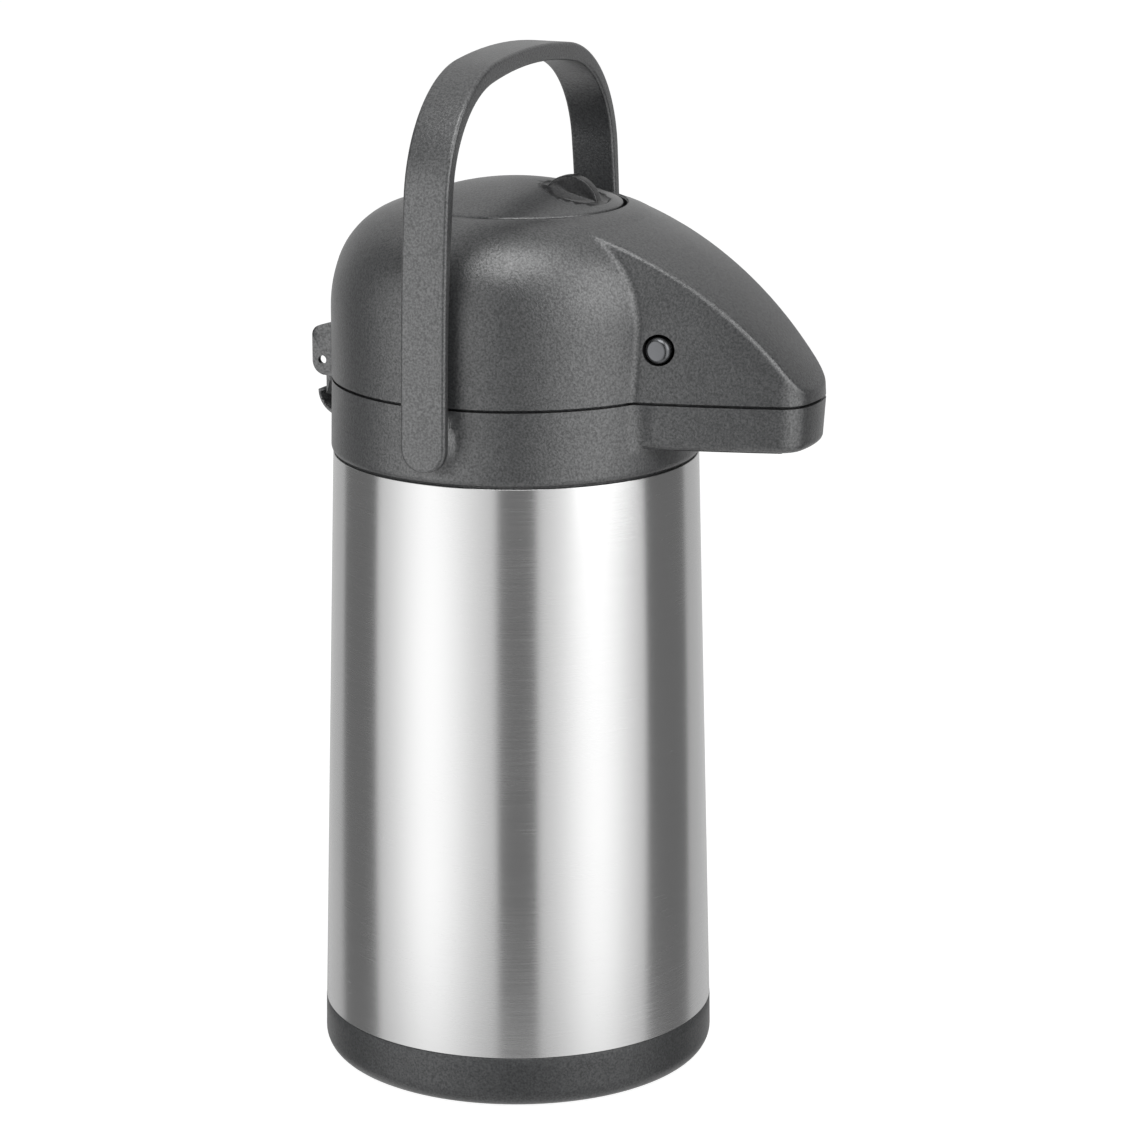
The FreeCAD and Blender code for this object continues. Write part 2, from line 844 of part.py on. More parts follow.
def make_spout_cover():
    jaw_inset = (collar_top - jaw_underside) * math.tan(math.radians(jaw_draft))
    inset = jaw_inset + collar_wall + seat_gap
    high = jaw_underside + cover_thickness
    plate = beak_prism(jaw_underside, high, inset, inset, cover_from + seat_gap)
    plate = plate.common(cover_window(cover_from, cover_to - seat_gap))
    nozzle_hole = rod_z(pipe_radius + socket_wall + free_gap, jaw_underside - 1, high + 1, nozzle_x)
    cuts = [nozzle_hole]
    head_room = cover_screw_head_radius + seat_gap
    for side in (1, -1):
        place = (cover_screw_x, side * cover_screw_y)
        cuts.append(rod_z(cover_screw_radius + free_gap, jaw_underside - 1, high + 1, *place))
        cuts.append(rod_z(head_room, jaw_underside - 1, jaw_underside + cover_screw_head, *place))
    return plate.cut(cuts)


def make_cover_screws():
    screws = []
    for side in (1, -1):
        place = (cover_screw_x, side * cover_screw_y)
        head_top = jaw_underside + cover_screw_head
        head = rod_z(cover_screw_head_radius, jaw_underside, head_top, *place)
        shank = rod_z(cover_screw_radius, head_top, deck_bottom - 2, *place)
        screws.append(head.fuse(shank))
    return Part.makeCompound(screws)


# Lid

def dome_solid(shrink):
    """The dome's outside drawn in by shrink: straight wall, two shoulder arcs and flat top."""
    wall_radius = dome_radius - shrink
    low_radius = shoulder_radius_low - shrink
    high_radius = shoulder_radius_high - shrink
    turn_low = math.radians(shoulder_turn_low)
    turn_high = math.radians(shoulder_turn_high)

    def spoke(centre, radius, angle):
        return centre + Vector(math.cos(angle), 0, math.sin(angle)) * radius

    centre_low = Vector(dome_radius - shoulder_radius_low, 0, dome_wall_top)
    centre_high = spoke(centre_low, shoulder_radius_low - shoulder_radius_high, turn_low)
    start = Vector(wall_radius, 0, dome_wall_top)
    knee = spoke(centre_low, low_radius, turn_low)
    top = spoke(centre_high, high_radius, turn_high)
    floor = lid_bottom if shrink == 0 else lid_bottom - 1
    section = Part.Face(Part.Wire([
        line(Vector(0, 0, floor), Vector(wall_radius, 0, floor)),
        line(Vector(wall_radius, 0, floor), start),
        arc(start, spoke(centre_low, low_radius, turn_low / 2), knee),
        arc(knee, spoke(centre_high, high_radius, (turn_low + turn_high) / 2), top),
        line(top, Vector(0, 0, top.z)),
        line(Vector(0, 0, top.z), Vector(0, 0, floor)),
    ]))
    return section.revolve(Vector(0, 0, 0), axis_z, 360)


def crest_circle():
    """Centre and radius of the crest's arc in the middle plane."""
    back = Vector(plate_hole_radius, 0, dome_wall_top + crest_back_rise)
    middle = Vector(beak_end - crest_middle_inset, 0, dome_wall_top + crest_middle_rise)
    front = Vector(beak_end - crest_front_inset, 0, seam_height + crest_front_rise)
    circle = arc(back, middle, front).Curve
    return circle.Center, circle.Radius


def crest_wheel(shrink):
    """A wheel whose crowned tread is the top of the beak, drawn in by shrink."""
    centre, radius = crest_circle()
    half = 1.5 * beak_back_half_width
    tread = radius - shrink
    fall = crest_crown_radius - math.sqrt(crest_crown_radius**2 - half**2)
    rim_left = centre + Vector(0, half, tread - fall)
    rim_right = centre + Vector(0, -half, tread - fall)
    section = Part.Face(Part.Wire([
        line(centre + Vector(0, -half, 0), centre + Vector(0, half, 0)),
        line(centre + Vector(0, half, 0), rim_left),
        arc(rim_left, centre + Vector(0, 0, tread), rim_right),
        line(rim_right, centre + Vector(0, -half, 0)),
    ]))
    return section.revolve(centre, axis_y, 360)


def beak_solid(shrink):
    """The upper half of the beak, drawn in by shrink."""
    floor = lid_bottom if shrink == 0 else lid_bottom - 1
    # the blank stands well above the crest that trims it
    ceiling = dome_wall_top + crest_back_rise + crest_blank_rise
    prism = beak_prism(floor, ceiling, draft_at(floor) + shrink, draft_at(ceiling) + shrink)
    return prism.common(crest_wheel(shrink))


def make_lid_shell():
    beak = round_edges(beak_solid(0), beak_edge_round, is_crease)
    outside = round_edges(dome_solid(0).fuse(beak), beak_valley_round, in_valley)
    body = outside.cut([dome_solid(lid_wall), beak_solid(lid_wall)])

    sleeve_radius = plate_hole_radius + sleeve_wall
    sleeve = ring(
        (plate_hole_radius, sleeve_bottom),
        (sleeve_radius, sleeve_bottom),
        (sleeve_radius, plate_crown_top),
        (plate_hole_radius, plate_crown_top),
    )
    additions = [sleeve.common(outside)]
    for x, y in lid_screw_places():
        boss = rod_z(lid_boss_radius, underplate_top, plate_crown_top, x, y)
        additions.append(boss.common(outside))
    for side in (1, -1):
        additions.append(on_side(lid_ear(), side))
    additions.append(lid_knuckle())
    body = body.fuse(additions)

    cuts = [rod_z(plate_hole_radius, lid_bottom, plate_crown_top)]
    for x, y in lid_screw_places():
        cuts.append(rod_z(lid_screw_radius, lid_bottom, lid_screw_end() + 2, x, y))
    for side in (1, -1):
        window_end = button_face_y() + button_flange_depth
        window = rod_y(button_hole_radius, button_stem_y(), window_end, button_x, button_z)
        cuts.append(on_side(window, side))
        hole_ends = (ear_y - ear_thickness, ear_y + ear_thickness)
        cuts.append(on_side(rod_y(ear_hole_radius, *hole_ends, ear_hole_x, ear_hole_z), side))
    cuts.append(rod_y(hinge_pin_radius + running_gap, -lug_inner_y, lug_inner_y, hinge_x, hinge_z))
    return body.cut(cuts).removeSplitter()


def is_crease(edge):
    """Whether an edge of the plain beak lies between its crowned top and its side walls."""
    middle = edge.valueAt((edge.FirstParameter + edge.LastParameter) / 2)
    centre, radius = crest_circle()
    fall = crest_crown_radius - math.sqrt(crest_crown_radius**2 - middle.y**2)
    away = math.hypot(middle.x - centre.x, middle.z - centre.z)
    return abs(away - (radius - fall)) < 0.2 and edge.BoundBox.XMax > beak_start + 1


def in_valley(edge):
    """Whether an edge climbs the valley where a side wall of the beak leaves the dome."""
    middle = edge.valueAt((edge.FirstParameter + edge.LastParameter) / 2)
    from_axis = math.hypot(middle.x, middle.y)
    beside_beak = middle.x > beak_start and abs(middle.y) > 0.7 * beak_back_half_width
    return beside_beak and from_axis < dome_radius + 1 and edge.BoundBox.ZLength > 3


def lid_screw_end():
    return underplate_bottom + lid_screw_length


def lid_screw_places():
    places = []
    for quarter in range(4):
        angle = math.radians(45 + 90 * quarter)
        places.append((lid_screw_circle * math.cos(angle), lid_screw_circle * math.sin(angle)))
    return places


def lid_ear():
    """One of the two ears beside the hinge, with its round hole."""
    low_x = hinge_x + lug_radius - 0.9
    root_x = -dome_radius + 1.5
    return slab_along_y(
        (
            (root_x, ear_top),
            (-ear_reach, ear_corner_z, ear_corner_round),
            (-ear_reach, ear_bottom, ear_foot_round),
            (low_x, ear_bottom),
            (low_x, lid_bottom),
            (root_x, lid_bottom),
        ),
        ear_y - ear_thickness / 2, ear_y + ear_thickness / 2,
    )


def lid_knuckle():
    """The lid's middle knuckle on the hinge pin, and the web that joins it to the wall."""
    half = lug_inner_y - free_gap
    barrel = rod_y(knuckle_radius, -half, half, hinge_x, hinge_z)
    web = slab_along_y(
        (
            (hinge_x - knuckle_radius, hinge_z),
            (hinge_x - knuckle_radius, lid_bottom + 3, 1.5),
            (-dome_radius - 0.5, lid_bottom + 12),
            (-dome_radius + 1, lid_bottom + 12),
            (-dome_radius + 1, lid_bottom),
            (hinge_x, lid_bottom),
            (hinge_x, hinge_z),
        ),
        -half, half,
    )
    return barrel.fuse(web)


def make_lid_underplate():
    rim_low = underplate_bottom - underplate_rim_drop
    inset = lid_wall + free_gap
    plate = footprint(underplate_bottom, underplate_top, inset)
    rim = footprint(rim_low, underplate_bottom, inset).cut(
        footprint(rim_low - 1, underplate_bottom, inset + underplate_rim_wall))
    plate = plate.fuse(rim)
    # the front edge follows the falling crest of the beak
    front_low = Vector(beak_front_x, -dome_radius, rim_low)
    front = box(front_low, Vector(beak_end, dome_radius, underplate_top))
    cuts = [front.cut(crest_wheel(inset))]
    for x, y in lid_screw_places():
        cuts.append(rod_z(lid_screw_radius + free_gap, rim_low, underplate_top + 1, x, y))
    for index in range(air_hole_count):
        angle = 2 * math.pi * index / air_hole_count
        x, y = air_hole_circle * math.cos(angle), air_hole_circle * math.sin(angle)
        cuts.append(rod_z(air_hole_radius, rim_low, underplate_top + 1, x, y))
    cuts.append(rod_z(valve_stem_radius, rim_low, underplate_top + 1))
    for side in (1, -1):
        cuts.append(on_side(latch_slot(rim_low, underplate_top + 1), side))
    return plate.cut(cuts).removeSplitter()


def make_lid_screws():
    screws = []
    for x, y in lid_screw_places():
        head_low = underplate_bottom - lid_screw_head
        head = rod_z(lid_screw_head_radius, head_low, underplate_bottom, x, y)
        shank = rod_z(lid_screw_radius, underplate_bottom, lid_screw_end(), x, y)
        screws.append(head.fuse(shank))
    return Part.makeCompound(screws)


def make_lid_gasket():
    inner = mouth_outer_radius - lid_gasket_width - lid_gasket_inset
    return ring(
        (inner, mouth_lip_top + seat_gap),
        (inner + lid_gasket_width, mouth_lip_top + seat_gap),
        (inner + lid_gasket_width, underplate_bottom),
        (inner, underplate_bottom),
    )


def make_check_valve():
    low = underplate_bottom - valve_thickness
    return ring(
        (0, low),
        (valve_radius, low),
        (valve_radius, low + valve_edge),
        (valve_stem_radius, underplate_bottom),
        (valve_stem_radius, underplate_top),
        (valve_button_radius, underplate_top),
        (valve_button_radius - valve_edge, underplate_top + valve_button),
        (0, underplate_top + valve_button),
    )


def make_hinge_pin():
    return rod_y(hinge_pin_radius, -lug_outer_y, lug_outer_y, hinge_x, hinge_z)


# Pump

def crown_ball(shrink):
    centre = Vector(0, 0, plate_crown_top - plate_crown_radius)
    return Part.makeSphere(plate_crown_radius - shrink, centre)


def plate_edge_z():
    drop = plate_crown_radius - math.sqrt(plate_crown_radius**2 - plate_radius**2)
    return plate_crown_top - drop


def knob_frame():
    """The knob's seat on the crown: a point of the surface, and the outward direction there."""
    centre = Vector(0, 0, plate_crown_top - plate_crown_radius)
    direction = Vector(math.sin(knob_tilt), 0, math.cos(knob_tilt))
    return centre + direction * plate_crown_radius, direction


def knob_rod(radius, low, high):
    """A cylinder about the knob's axis, between two depths from the crown."""
    seat, direction = knob_frame()
    return Part.makeCylinder(radius, high - low, seat + direction * low, direction)


def make_press_plate():
    low = plate_edge_z() - plate_skirt
    body = rod_z(plate_radius, low, plate_crown_top + 1).common(crown_ball(0))
    body = round_edges(body, plate_edge_round, lambda edge: level(edge, plate_edge_z()))
    room = rod_z(plate_radius - plate_wall, low - 1, plate_crown_top).common(crown_ball(plate_wall))
    body = body.cut(room)
    seat_depth = knob_sink + knob_disc + free_gap
    pad = knob_rod(knob_radius + knob_seat, -seat_depth - knob_seat, -plate_wall / 2)
    body = body.fuse(pad.common(crown_ball(plate_wall / 2)))
    recess = knob_rod(knob_radius + free_gap, -seat_depth, 10)
    stem_hole = knob_rod(stem_radius + running_gap, -seat_depth - knob_seat - 5, 5)
    return body.cut([recess, stem_hole]).removeSplitter()


def make_pump_head():
    under_crown = crown_ball(plate_wall)
    disc = ring(
        (0, pump_head_bottom),
        (pump_head_radius, pump_head_bottom),
        (pump_head_radius, pump_top),
        (0, pump_top),
    )
    post = rod_z(pump_post_radius, pump_top, plate_crown_top)
    hollow = rod_z(pump_post_radius - pump_post_wall, pump_top, plate_crown_top)
    seat_depth = knob_sink + knob_disc + free_gap + knob_seat + free_gap
    knob_room = knob_rod(knob_radius + knob_seat + free_gap, -seat_depth, 10)
    post = post.cut([hollow, knob_room]).common(under_crown)
    air_hole = rod_z(pump_air_hole, pump_head_bottom - 1, pump_top + 1)
    return disc.fuse(post).cut(air_hole)


def make_bellows():
    """Folds of even height: the wall runs in and out between two radii."""
    step = (pump_head_bottom - underplate_top) / bellows_folds
    outer = []
    inner = []
    for fold in range(bellows_folds):
        base = underplate_top + fold * step
        outer.append((bellows_radius - bellows_depth, base))
        outer.append((bellows_radius, base + step / 2))
        inner.append((bellows_radius - bellows_depth - bellows_wall, base))
        inner.append((bellows_radius - bellows_wall, base + step / 2))
    outer.append((bellows_radius - bellows_depth, pump_head_bottom))
    inner.append((bellows_radius - bellows_depth - bellows_wall, pump_head_bottom))
    return ring(*(outer + inner[::-1]))


def make_return_spring():
    """A round wire coil between the underplate and the pump head."""
    low = underplate_top + spring_wire / 2 + seat_gap
    high = pump_head_bottom - spring_wire / 2 - seat_gap
    pitch = (high - low) / spring_turns
    quarters = 4 * spring_turns
    step = math.pi / 2
    points = []
    for index in range(2 * quarters + 1):
        angle = index * step / 2
        points.append(Vector(
            spring_radius * math.cos(angle),
            spring_radius * math.sin(angle),
            low + pitch * angle / (2 * math.pi),
        ))
    edges = [arc(points[i], points[i + 1], points[i + 2]) for i in range(0, 2 * quarters, 2)]
    path = Part.Wire(edges)
    direction = Vector(0, spring_radius, pitch / (2 * math.pi))
    section = Part.Wire([Part.makeCircle(spring_wire / 2, points[0], direction)])
    return path.makePipeShell([section], True, False)


def make_lock_knob():
    disc = knob_rod(knob_radius, -knob_sink - knob_disc, -knob_sink)
    stem = knob_rod(stem_radius, -cam_depth, -knob_sink)
    fin_radius = (fin_length**2 / 4 + fin_height**2) / (2 * fin_height)
    seat, direction = knob_frame()
    foot = seat - direction * knob_sink
    hub = foot + direction * (fin_height - fin_radius)
    half = fin_thickness / 2
    fin = Part.makeCylinder(fin_radius, fin_thickness, hub - axis_y * half, axis_y)
    fin = fin.common(knob_rod(knob_radius, -knob_sink, fin_height + 5))
    fin = round_edges(fin, fin_edge_round, lambda edge: isinstance(edge.Curve, Part.Circle))
    return disc.fuse([stem, fin]).removeSplitter()


def make_lock_cam():
    seat, direction = knob_frame()
    low = -cam_depth
    high = low + cam_thickness
    hub = knob_rod(cam_radius, low, high)
    arm = Part.makeBox(cam_reach, cam_width, cam_thickness, Vector(0, -cam_width / 2, low))
    arm.rotate(Vector(0, 0, 0), axis_y, math.degrees(direction.getAngle(axis_z)))
    arm.translate(seat)
    return hub.fuse(arm).cut(knob_rod(stem_radius, low - 1, high + 1)).removeSplitter()


# Release buttons

def button_face_y():
    """Where a button's face stands, just proud of the beak's side."""
    return beak_side_y(button_x, draft_at(button_z)) + button_face_stand


def button_flange_y():
    return button_face_y() - button_flange_depth


def button_stem_y():
    return button_face_y() - button_stem_depth


def latch_y():
    return button_face_y() - latch_depth


def make_release_button():
    face, flange_high = button_face_y(), button_flange_y()
    flange_low = flange_high - button_flange
    cap = rod_y(button_radius, flange_low, face, button_x, button_z)
    cap = round_edges(cap, button_edge_round, lambda edge: edge.BoundBox.YMin > face - 0.01)
    flange = rod_y(button_flange_radius, flange_low, flange_high, button_x, button_z)
    stem = rod_y(button_stem_radius, button_stem_y(), flange_high, button_x, button_z)
    return cap.fuse([flange, stem]).removeSplitter()


def make_latch():
    half = latch_width / 2
    top = button_z + half
    outer_y = latch_y()
    arm = box(Vector(button_x - half, outer_y - latch_thickness, latch_bottom),
              Vector(button_x + half, outer_y, top))
    nose = slab_along_y(
        (
            (button_x - half, latch_bottom),
            (button_x + half, latch_bottom),
            (button_x + half, latch_bottom + latch_nose_height),
            (button_x - half, latch_bottom + latch_nose_height),
        ),
        outer_y, outer_y + latch_nose,
    )
    hole_ends = (button_stem_y() - 1, button_flange_y())
    stem_hole = rod_y(button_stem_radius, *hole_ends, button_x, button_z)
    return arm.fuse(nose).cut(stem_hole).removeSplitter()


# Handle

def bail_side(foot_y, lean, straight, bends):
    """Edges from one foot over the top to the other: straight arm, two bends and a flat arc."""
    heading = math.radians(90 + lean)
    here = Vector(0, foot_y, handle_foot_z)
    there = here + Vector(0, math.cos(heading), math.sin(heading)) * straight
    edges = [line(here, there)]
    turns = [(radius, math.radians(angle)) for radius, angle in bends]
    last_turn = math.pi - heading - sum(angle for radius, angle in turns)

    def turn(start, radius, angle):
        centre = start + Vector(0, -math.sin(heading), math.cos(heading)) * radius
        points = []
        for share in (0.5, 1.0):
            spoke = heading - math.pi / 2 + angle * share
            points.append(centre + Vector(0, math.cos(spoke), math.sin(spoke)) * radius)
        return points

    for radius, angle in turns:
        middle, end = turn(there, radius, angle)
        edges.append(arc(there, middle, end))
        there = end
        heading += angle
    top_radius = there.y / math.sin(last_turn)
    far = Vector(0, -there.y, there.z)
    crown = Vector(0, 0, there.z + top_radius * (1 - math.cos(last_turn)))
    mirrored_edges = [mirrored(edge) for edge in reversed(edges)]
    return edges + [arc(there, crown, far)] + mirrored_edges


def make_handle():
    outer = bail_side(
        handle_outer_foot_y, handle_outer_lean, handle_outer_arm_length,
        [(handle_outer_bow_radius, handle_outer_bow_angle),
         (handle_outer_corner_radius, handle_outer_corner_angle)],
    )
    inner = bail_side(
        handle_inner_foot_y, handle_inner_lean, handle_inner_arm_length,
        [(handle_inner_bow_radius, handle_inner_bow_angle),
         (handle_inner_corner_radius, handle_inner_corner_angle)],
    )
    foot_outer = Vector(0, handle_outer_foot_y, handle_foot_z)
    foot_inner = Vector(0, handle_inner_foot_y, handle_foot_z)
    foot = line(foot_outer, foot_inner)
    edges = Part.__sortEdges__(outer + inner + [foot, mirrored(foot)])
    section = Part.Face(Part.Wire(edges))
    section.translate(Vector(-handle_width / 2, 0, 0))
    strap = section.extrude(Vector(handle_width, 0, 0))
    # the feet are half round about the pivot
    half = handle_width / 2
    reach = handle_outer_foot_y + half
    above = box(Vector(-half, -reach, handle_pivot_z), Vector(half, reach, 2 * handle_pivot_z))
    keep = above.fuse(rod_y(half, -reach, reach, 0, handle_pivot_z))
    strap = strap.common(keep).removeSplitter()
    strap = round_edges(strap, handle_edge_round, on_long_edge)
    face = boss_face_y() + handle_boss_gap
    seat = rod_y(handle_pin_radius, face - 2, face + handle_pin_seat, 0, handle_pivot_z)
    return strap.cut([seat, mirrored(seat)])


def on_long_edge(edge):
    """Whether an edge runs along the strap, and not across it."""
    bounds = edge.BoundBox
    flat_side = bounds.XLength < 0.01 and abs(abs(bounds.XMin) - handle_width / 2) < 0.01
    return (flat_side or bounds.ZMax < handle_pivot_z + 1) and edge.Length > 2 * handle_edge_round


def make_handle_pin():
    face = boss_face_y() + handle_boss_gap
    inner = casing_high_radius - casing_wall - seat_gap - collar_wall
    head_face = math.sqrt(inner**2 - handle_pin_head_radius**2) - free_gap
    low = head_face - handle_pin_head
    pin = rod_y(handle_pin_radius, low, face + handle_pin_seat, 0, handle_pivot_z)
    head = rod_y(handle_pin_head_radius, low, head_face, 0, handle_pivot_z)
    return pin.fuse(head).removeSplitter()


makers = {
    "base_cup": make_base_cup,
    "base_cap": make_base_cap,
    "flask_cushion": make_flask_cushion,
    "outer_casing": make_outer_casing,
    "flask_outer_wall": make_flask_outer_wall,
    "flask_inner_wall": make_flask_inner_wall,
    "neck_gasket": make_neck_gasket,
    "mouth_ring": make_mouth_ring,
    "collar": make_collar,
    "riser_tube": make_riser_tube,
    "riser_seal": make_riser_seal,
    "discharge_pipe": make_discharge_pipe,
    "spout_nozzle": make_spout_nozzle,
    "spout_cover": make_spout_cover,
    "cover_screws": make_cover_screws,
    "hinge_pin": make_hinge_pin,
    "lid_shell": make_lid_shell,
    "lid_underplate": make_lid_underplate,
    "lid_screws": make_lid_screws,
    "lid_gasket": make_lid_gasket,
    "check_valve": make_check_valve,
    "press_plate": make_press_plate,
    "pump_head": make_pump_head,
    "bellows": make_bellows,
    "return_spring": make_return_spring,
    "lock_knob": make_lock_knob,
    "lock_cam": make_lock_cam,
    "handle": make_handle,
}

os.makedirs("parts", exist_ok=True)
for name, make in makers.items():
    make().exportStep(f"parts/{name}.step")
for side_name, side in (("left", 1), ("right", -1)):
    on_side(make_release_button(), side).exportStep(f"parts/release_button_{side_name}.step")
    on_side(make_latch(), side).exportStep(f"parts/latch_{side_name}.step")
    on_side(make_handle_pin(), side).exportStep(f"parts/handle_pin_{side_name}.step")
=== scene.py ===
import json
import math

import bmesh
import bpy
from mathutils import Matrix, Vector

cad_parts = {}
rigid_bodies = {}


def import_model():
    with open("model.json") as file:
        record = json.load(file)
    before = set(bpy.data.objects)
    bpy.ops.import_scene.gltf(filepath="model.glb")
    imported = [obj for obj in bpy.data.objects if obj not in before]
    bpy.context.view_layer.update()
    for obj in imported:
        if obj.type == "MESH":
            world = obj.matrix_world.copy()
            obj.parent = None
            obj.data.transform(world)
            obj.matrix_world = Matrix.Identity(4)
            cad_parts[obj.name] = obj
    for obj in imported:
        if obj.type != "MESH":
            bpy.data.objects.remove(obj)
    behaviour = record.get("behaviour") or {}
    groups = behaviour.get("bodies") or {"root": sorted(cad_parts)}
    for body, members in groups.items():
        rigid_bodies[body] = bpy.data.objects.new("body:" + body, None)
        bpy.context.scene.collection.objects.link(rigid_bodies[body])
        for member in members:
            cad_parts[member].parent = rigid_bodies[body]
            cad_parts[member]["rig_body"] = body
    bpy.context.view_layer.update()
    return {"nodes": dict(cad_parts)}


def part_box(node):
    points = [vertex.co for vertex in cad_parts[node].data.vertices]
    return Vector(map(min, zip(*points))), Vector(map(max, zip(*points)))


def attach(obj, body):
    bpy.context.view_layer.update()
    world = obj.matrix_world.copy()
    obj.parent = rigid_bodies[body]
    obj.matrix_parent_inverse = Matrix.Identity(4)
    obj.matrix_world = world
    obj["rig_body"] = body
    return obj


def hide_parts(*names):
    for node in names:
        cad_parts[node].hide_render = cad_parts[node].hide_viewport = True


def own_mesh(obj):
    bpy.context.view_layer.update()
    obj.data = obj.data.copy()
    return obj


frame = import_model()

bl_info = {
    "name": "Pump vacuum jug",
    "version": (1, 0, 0),
    "blender": (4, 5, 0),
    "location": "3D View > Sidebar > Jug",
    "description": "Dresses a pump vacuum jug in moulded plastic and brushed steel",
    "category": "Object",
}

MM = 0.001
TOP_GAP = 0.05 * MM
nodes = frame["nodes"]


# Colours and nodes

def linear(hex_colour):
    """An sRGB hex colour as linear red, green, blue and full alpha."""
    channels = [int(hex_colour[start:start + 2], 16) / 255 for start in (1, 3, 5)]
    return [c / 12.92 if c <= 0.04045 else ((c + 0.055) / 1.055) ** 2.4 for c in channels] + [1.0]


def shade(colour, factor):
    """A linear colour made darker or lighter."""
    return [min(1.0, channel * factor) for channel in colour[:3]] + [1.0]


def add_node(material, kind, settings=None, inputs=None):
    """Adds a node, sets its properties, and fills or links its inputs."""
    node = material.node_tree.nodes.new(kind)
    for name, value in (settings or {}).items():
        setattr(node, name, value)
    for name, value in (inputs or {}).items():
        if isinstance(value, bpy.types.NodeSocket):
            material.node_tree.links.new(value, node.inputs[name])
        else:
            node.inputs[name].default_value = value
    return node


def blank_material(name):
    material = bpy.data.materials.new(name)
    material.use_nodes = True
    material.node_tree.nodes.clear()
    return material


def pattern_place(material, scale=(1.0, 1.0, 1.0)):
    """Object coordinates, in metres, stretched for a pattern."""
    place = add_node(material, "ShaderNodeTexCoord")
    stretched = add_node(material, "ShaderNodeMapping", inputs={
        "Vector": place.outputs["Object"], "Scale": scale})
    return stretched.outputs["Vector"]


def noise(material, place, size_mm, detail=2.0, roughness=0.5):
    """A noise whose spots are about size_mm across."""
    texture = add_node(material, "ShaderNodeTexNoise", inputs={
        "Vector": place, "Scale": 1 / (size_mm * MM), "Detail": detail, "Roughness": roughness})
    return texture.outputs["Fac"]


def spread(material, value, low, high, from_low=0.3, from_high=0.7):
    """Maps a noise's middle range to low and high."""
    mapped = add_node(material, "ShaderNodeMapRange", inputs={
        "Value": value, "From Min": from_low, "From Max": from_high, "To Min": low, "To Max": high})
    return mapped.outputs["Result"]


def tinted(material, value, dark, light):
    """A colour between dark and light, by a value from 0 to 1."""
    mixed = add_node(material, "ShaderNodeMix", {"data_type": "RGBA"}, {
        0: value, 6: dark, 7: light})
    return mixed.outputs[2]


def surface(material, inputs):
    """Closes a material with its shader and output."""
    shader = add_node(material, "ShaderNodeBsdfPrincipled", inputs=inputs)
    add_node(material, "ShaderNodeOutputMaterial", inputs={"Surface": shader.outputs["BSDF"]})
    return material


# Materials

def textured_abs(name, colour, grain_mm, roughness, gloss, depth_mm=0.15):
    """ABS moulded against a spark-eroded steel mould: fine even grain and a soft, broad sheen."""
    material = blank_material(name)
    place = pattern_place(material)
    grain = noise(material, place, grain_mm, 3.0, 0.6)
    handling = noise(material, place, 38.0)
    bump = add_node(material, "ShaderNodeBump", inputs={
        "Strength": 1.0, "Distance": depth_mm * MM, "Height": grain})
    # the pits of the grain hold their gloss back
    pitted_gloss = spread(material, grain, 0.5 * gloss, gloss, 0.35, 0.65)
    tone = tinted(material, spread(material, grain, 0.0, 1.0), shade(colour, 0.75), shade(colour, 1.25))
    return surface(material, {
        "Base Color": tone,
        "Roughness": spread(material, handling, roughness - 0.04, roughness + 0.05),
        "IOR": 1.6,
        "Specular IOR Level": pitted_gloss,
        "Normal": bump.outputs["Normal"],
    })


def chromed_abs(name, colour, roughness):
    """ABS with a satin chrome plate: a grey mirror with a soft blur and faint rub marks."""
    material = blank_material(name)
    place = pattern_place(material)
    rubbing = noise(material, place, 6.0, 4.0, 0.6)
    tone = tinted(material, spread(material, rubbing, 0.0, 1.0), shade(colour, 0.95), shade(colour, 1.05))
    return surface(material, {
        "Base Color": tone,
        "Metallic": 1.0,
        "Roughness": spread(material, rubbing, roughness - 0.03, roughness + 0.05),
    })


def brushed_steel(name, colour, streak_mm, roughness):
    """Stainless sheet brushed round the body: fine level lines that draw reflections out upright."""
    material = blank_material(name)
    # lines run far round the body and change quickly with height
    level_lines = pattern_place(material, (0.012, 0.012, 1.0))
    brushing = noise(material, level_lines, streak_mm, 4.0, 0.7)
    patches = noise(material, pattern_place(material, (1.0, 1.0, 0.35)), 30.0)
    tangent = add_node(material, "ShaderNodeTangent", {"direction_type": "RADIAL", "axis": "Z"})
    bump = add_node(material, "ShaderNodeBump", inputs={
        "Strength": 0.1, "Distance": 0.01 * MM, "Height": brushing})
    tone = tinted(material, spread(material, brushing, 0.0, 1.0), shade(colour, 0.98), shade(colour, 1.02))
    rough = add_node(material, "ShaderNodeMath", {"operation": "ADD"}, {
        0: spread(material, brushing, roughness - 0.04, roughness + 0.04),
        1: spread(material, patches, -0.02, 0.02)})
    return surface(material, {
        "Base Color": tone,
        "Metallic": 1.0,
        "Roughness": rough.outputs["Value"],
        "Anisotropic": 0.75,
        "Anisotropic Rotation": 0.25,
        "Tangent": tangent.outputs["Tangent"],
        "Normal": bump.outputs["Normal"],
    })


def plain_steel(name, colour, roughness):
    """Drawn or turned steel: even and bright, with light tool marks."""
    material = blank_material(name)
    marks = noise(material, pattern_place(material, (1.0, 1.0, 4.0)), 1.2, 3.0)
    tone = tinted(material, spread(material, marks, 0.0, 1.0), shade(colour, 0.92), shade(colour, 1.05))
    return surface(material, {
        "Base Color": tone,
        "Metallic": 1.0,
        "Roughness": spread(material, marks, roughness - 0.05, roughness + 0.08),
    })


def silicone(name, colour):
    """Moulded silicone rubber: dull and slightly see-through, with dust in its skin."""
    material = blank_material(name)
    dust = noise(material, pattern_place(material), 0.9, 4.0, 0.7)
    tone = tinted(material, spread(material, dust, 0.0, 1.0), shade(colour, 0.9), shade(colour, 1.06))
    return surface(material, {
        "Base Color": tone,
        "Roughness": spread(material, dust, 0.5, 0.68),
        "IOR": 1.42,
        "Subsurface Weight": 0.15,
        "Subsurface Scale": 2.0 * MM,
    })


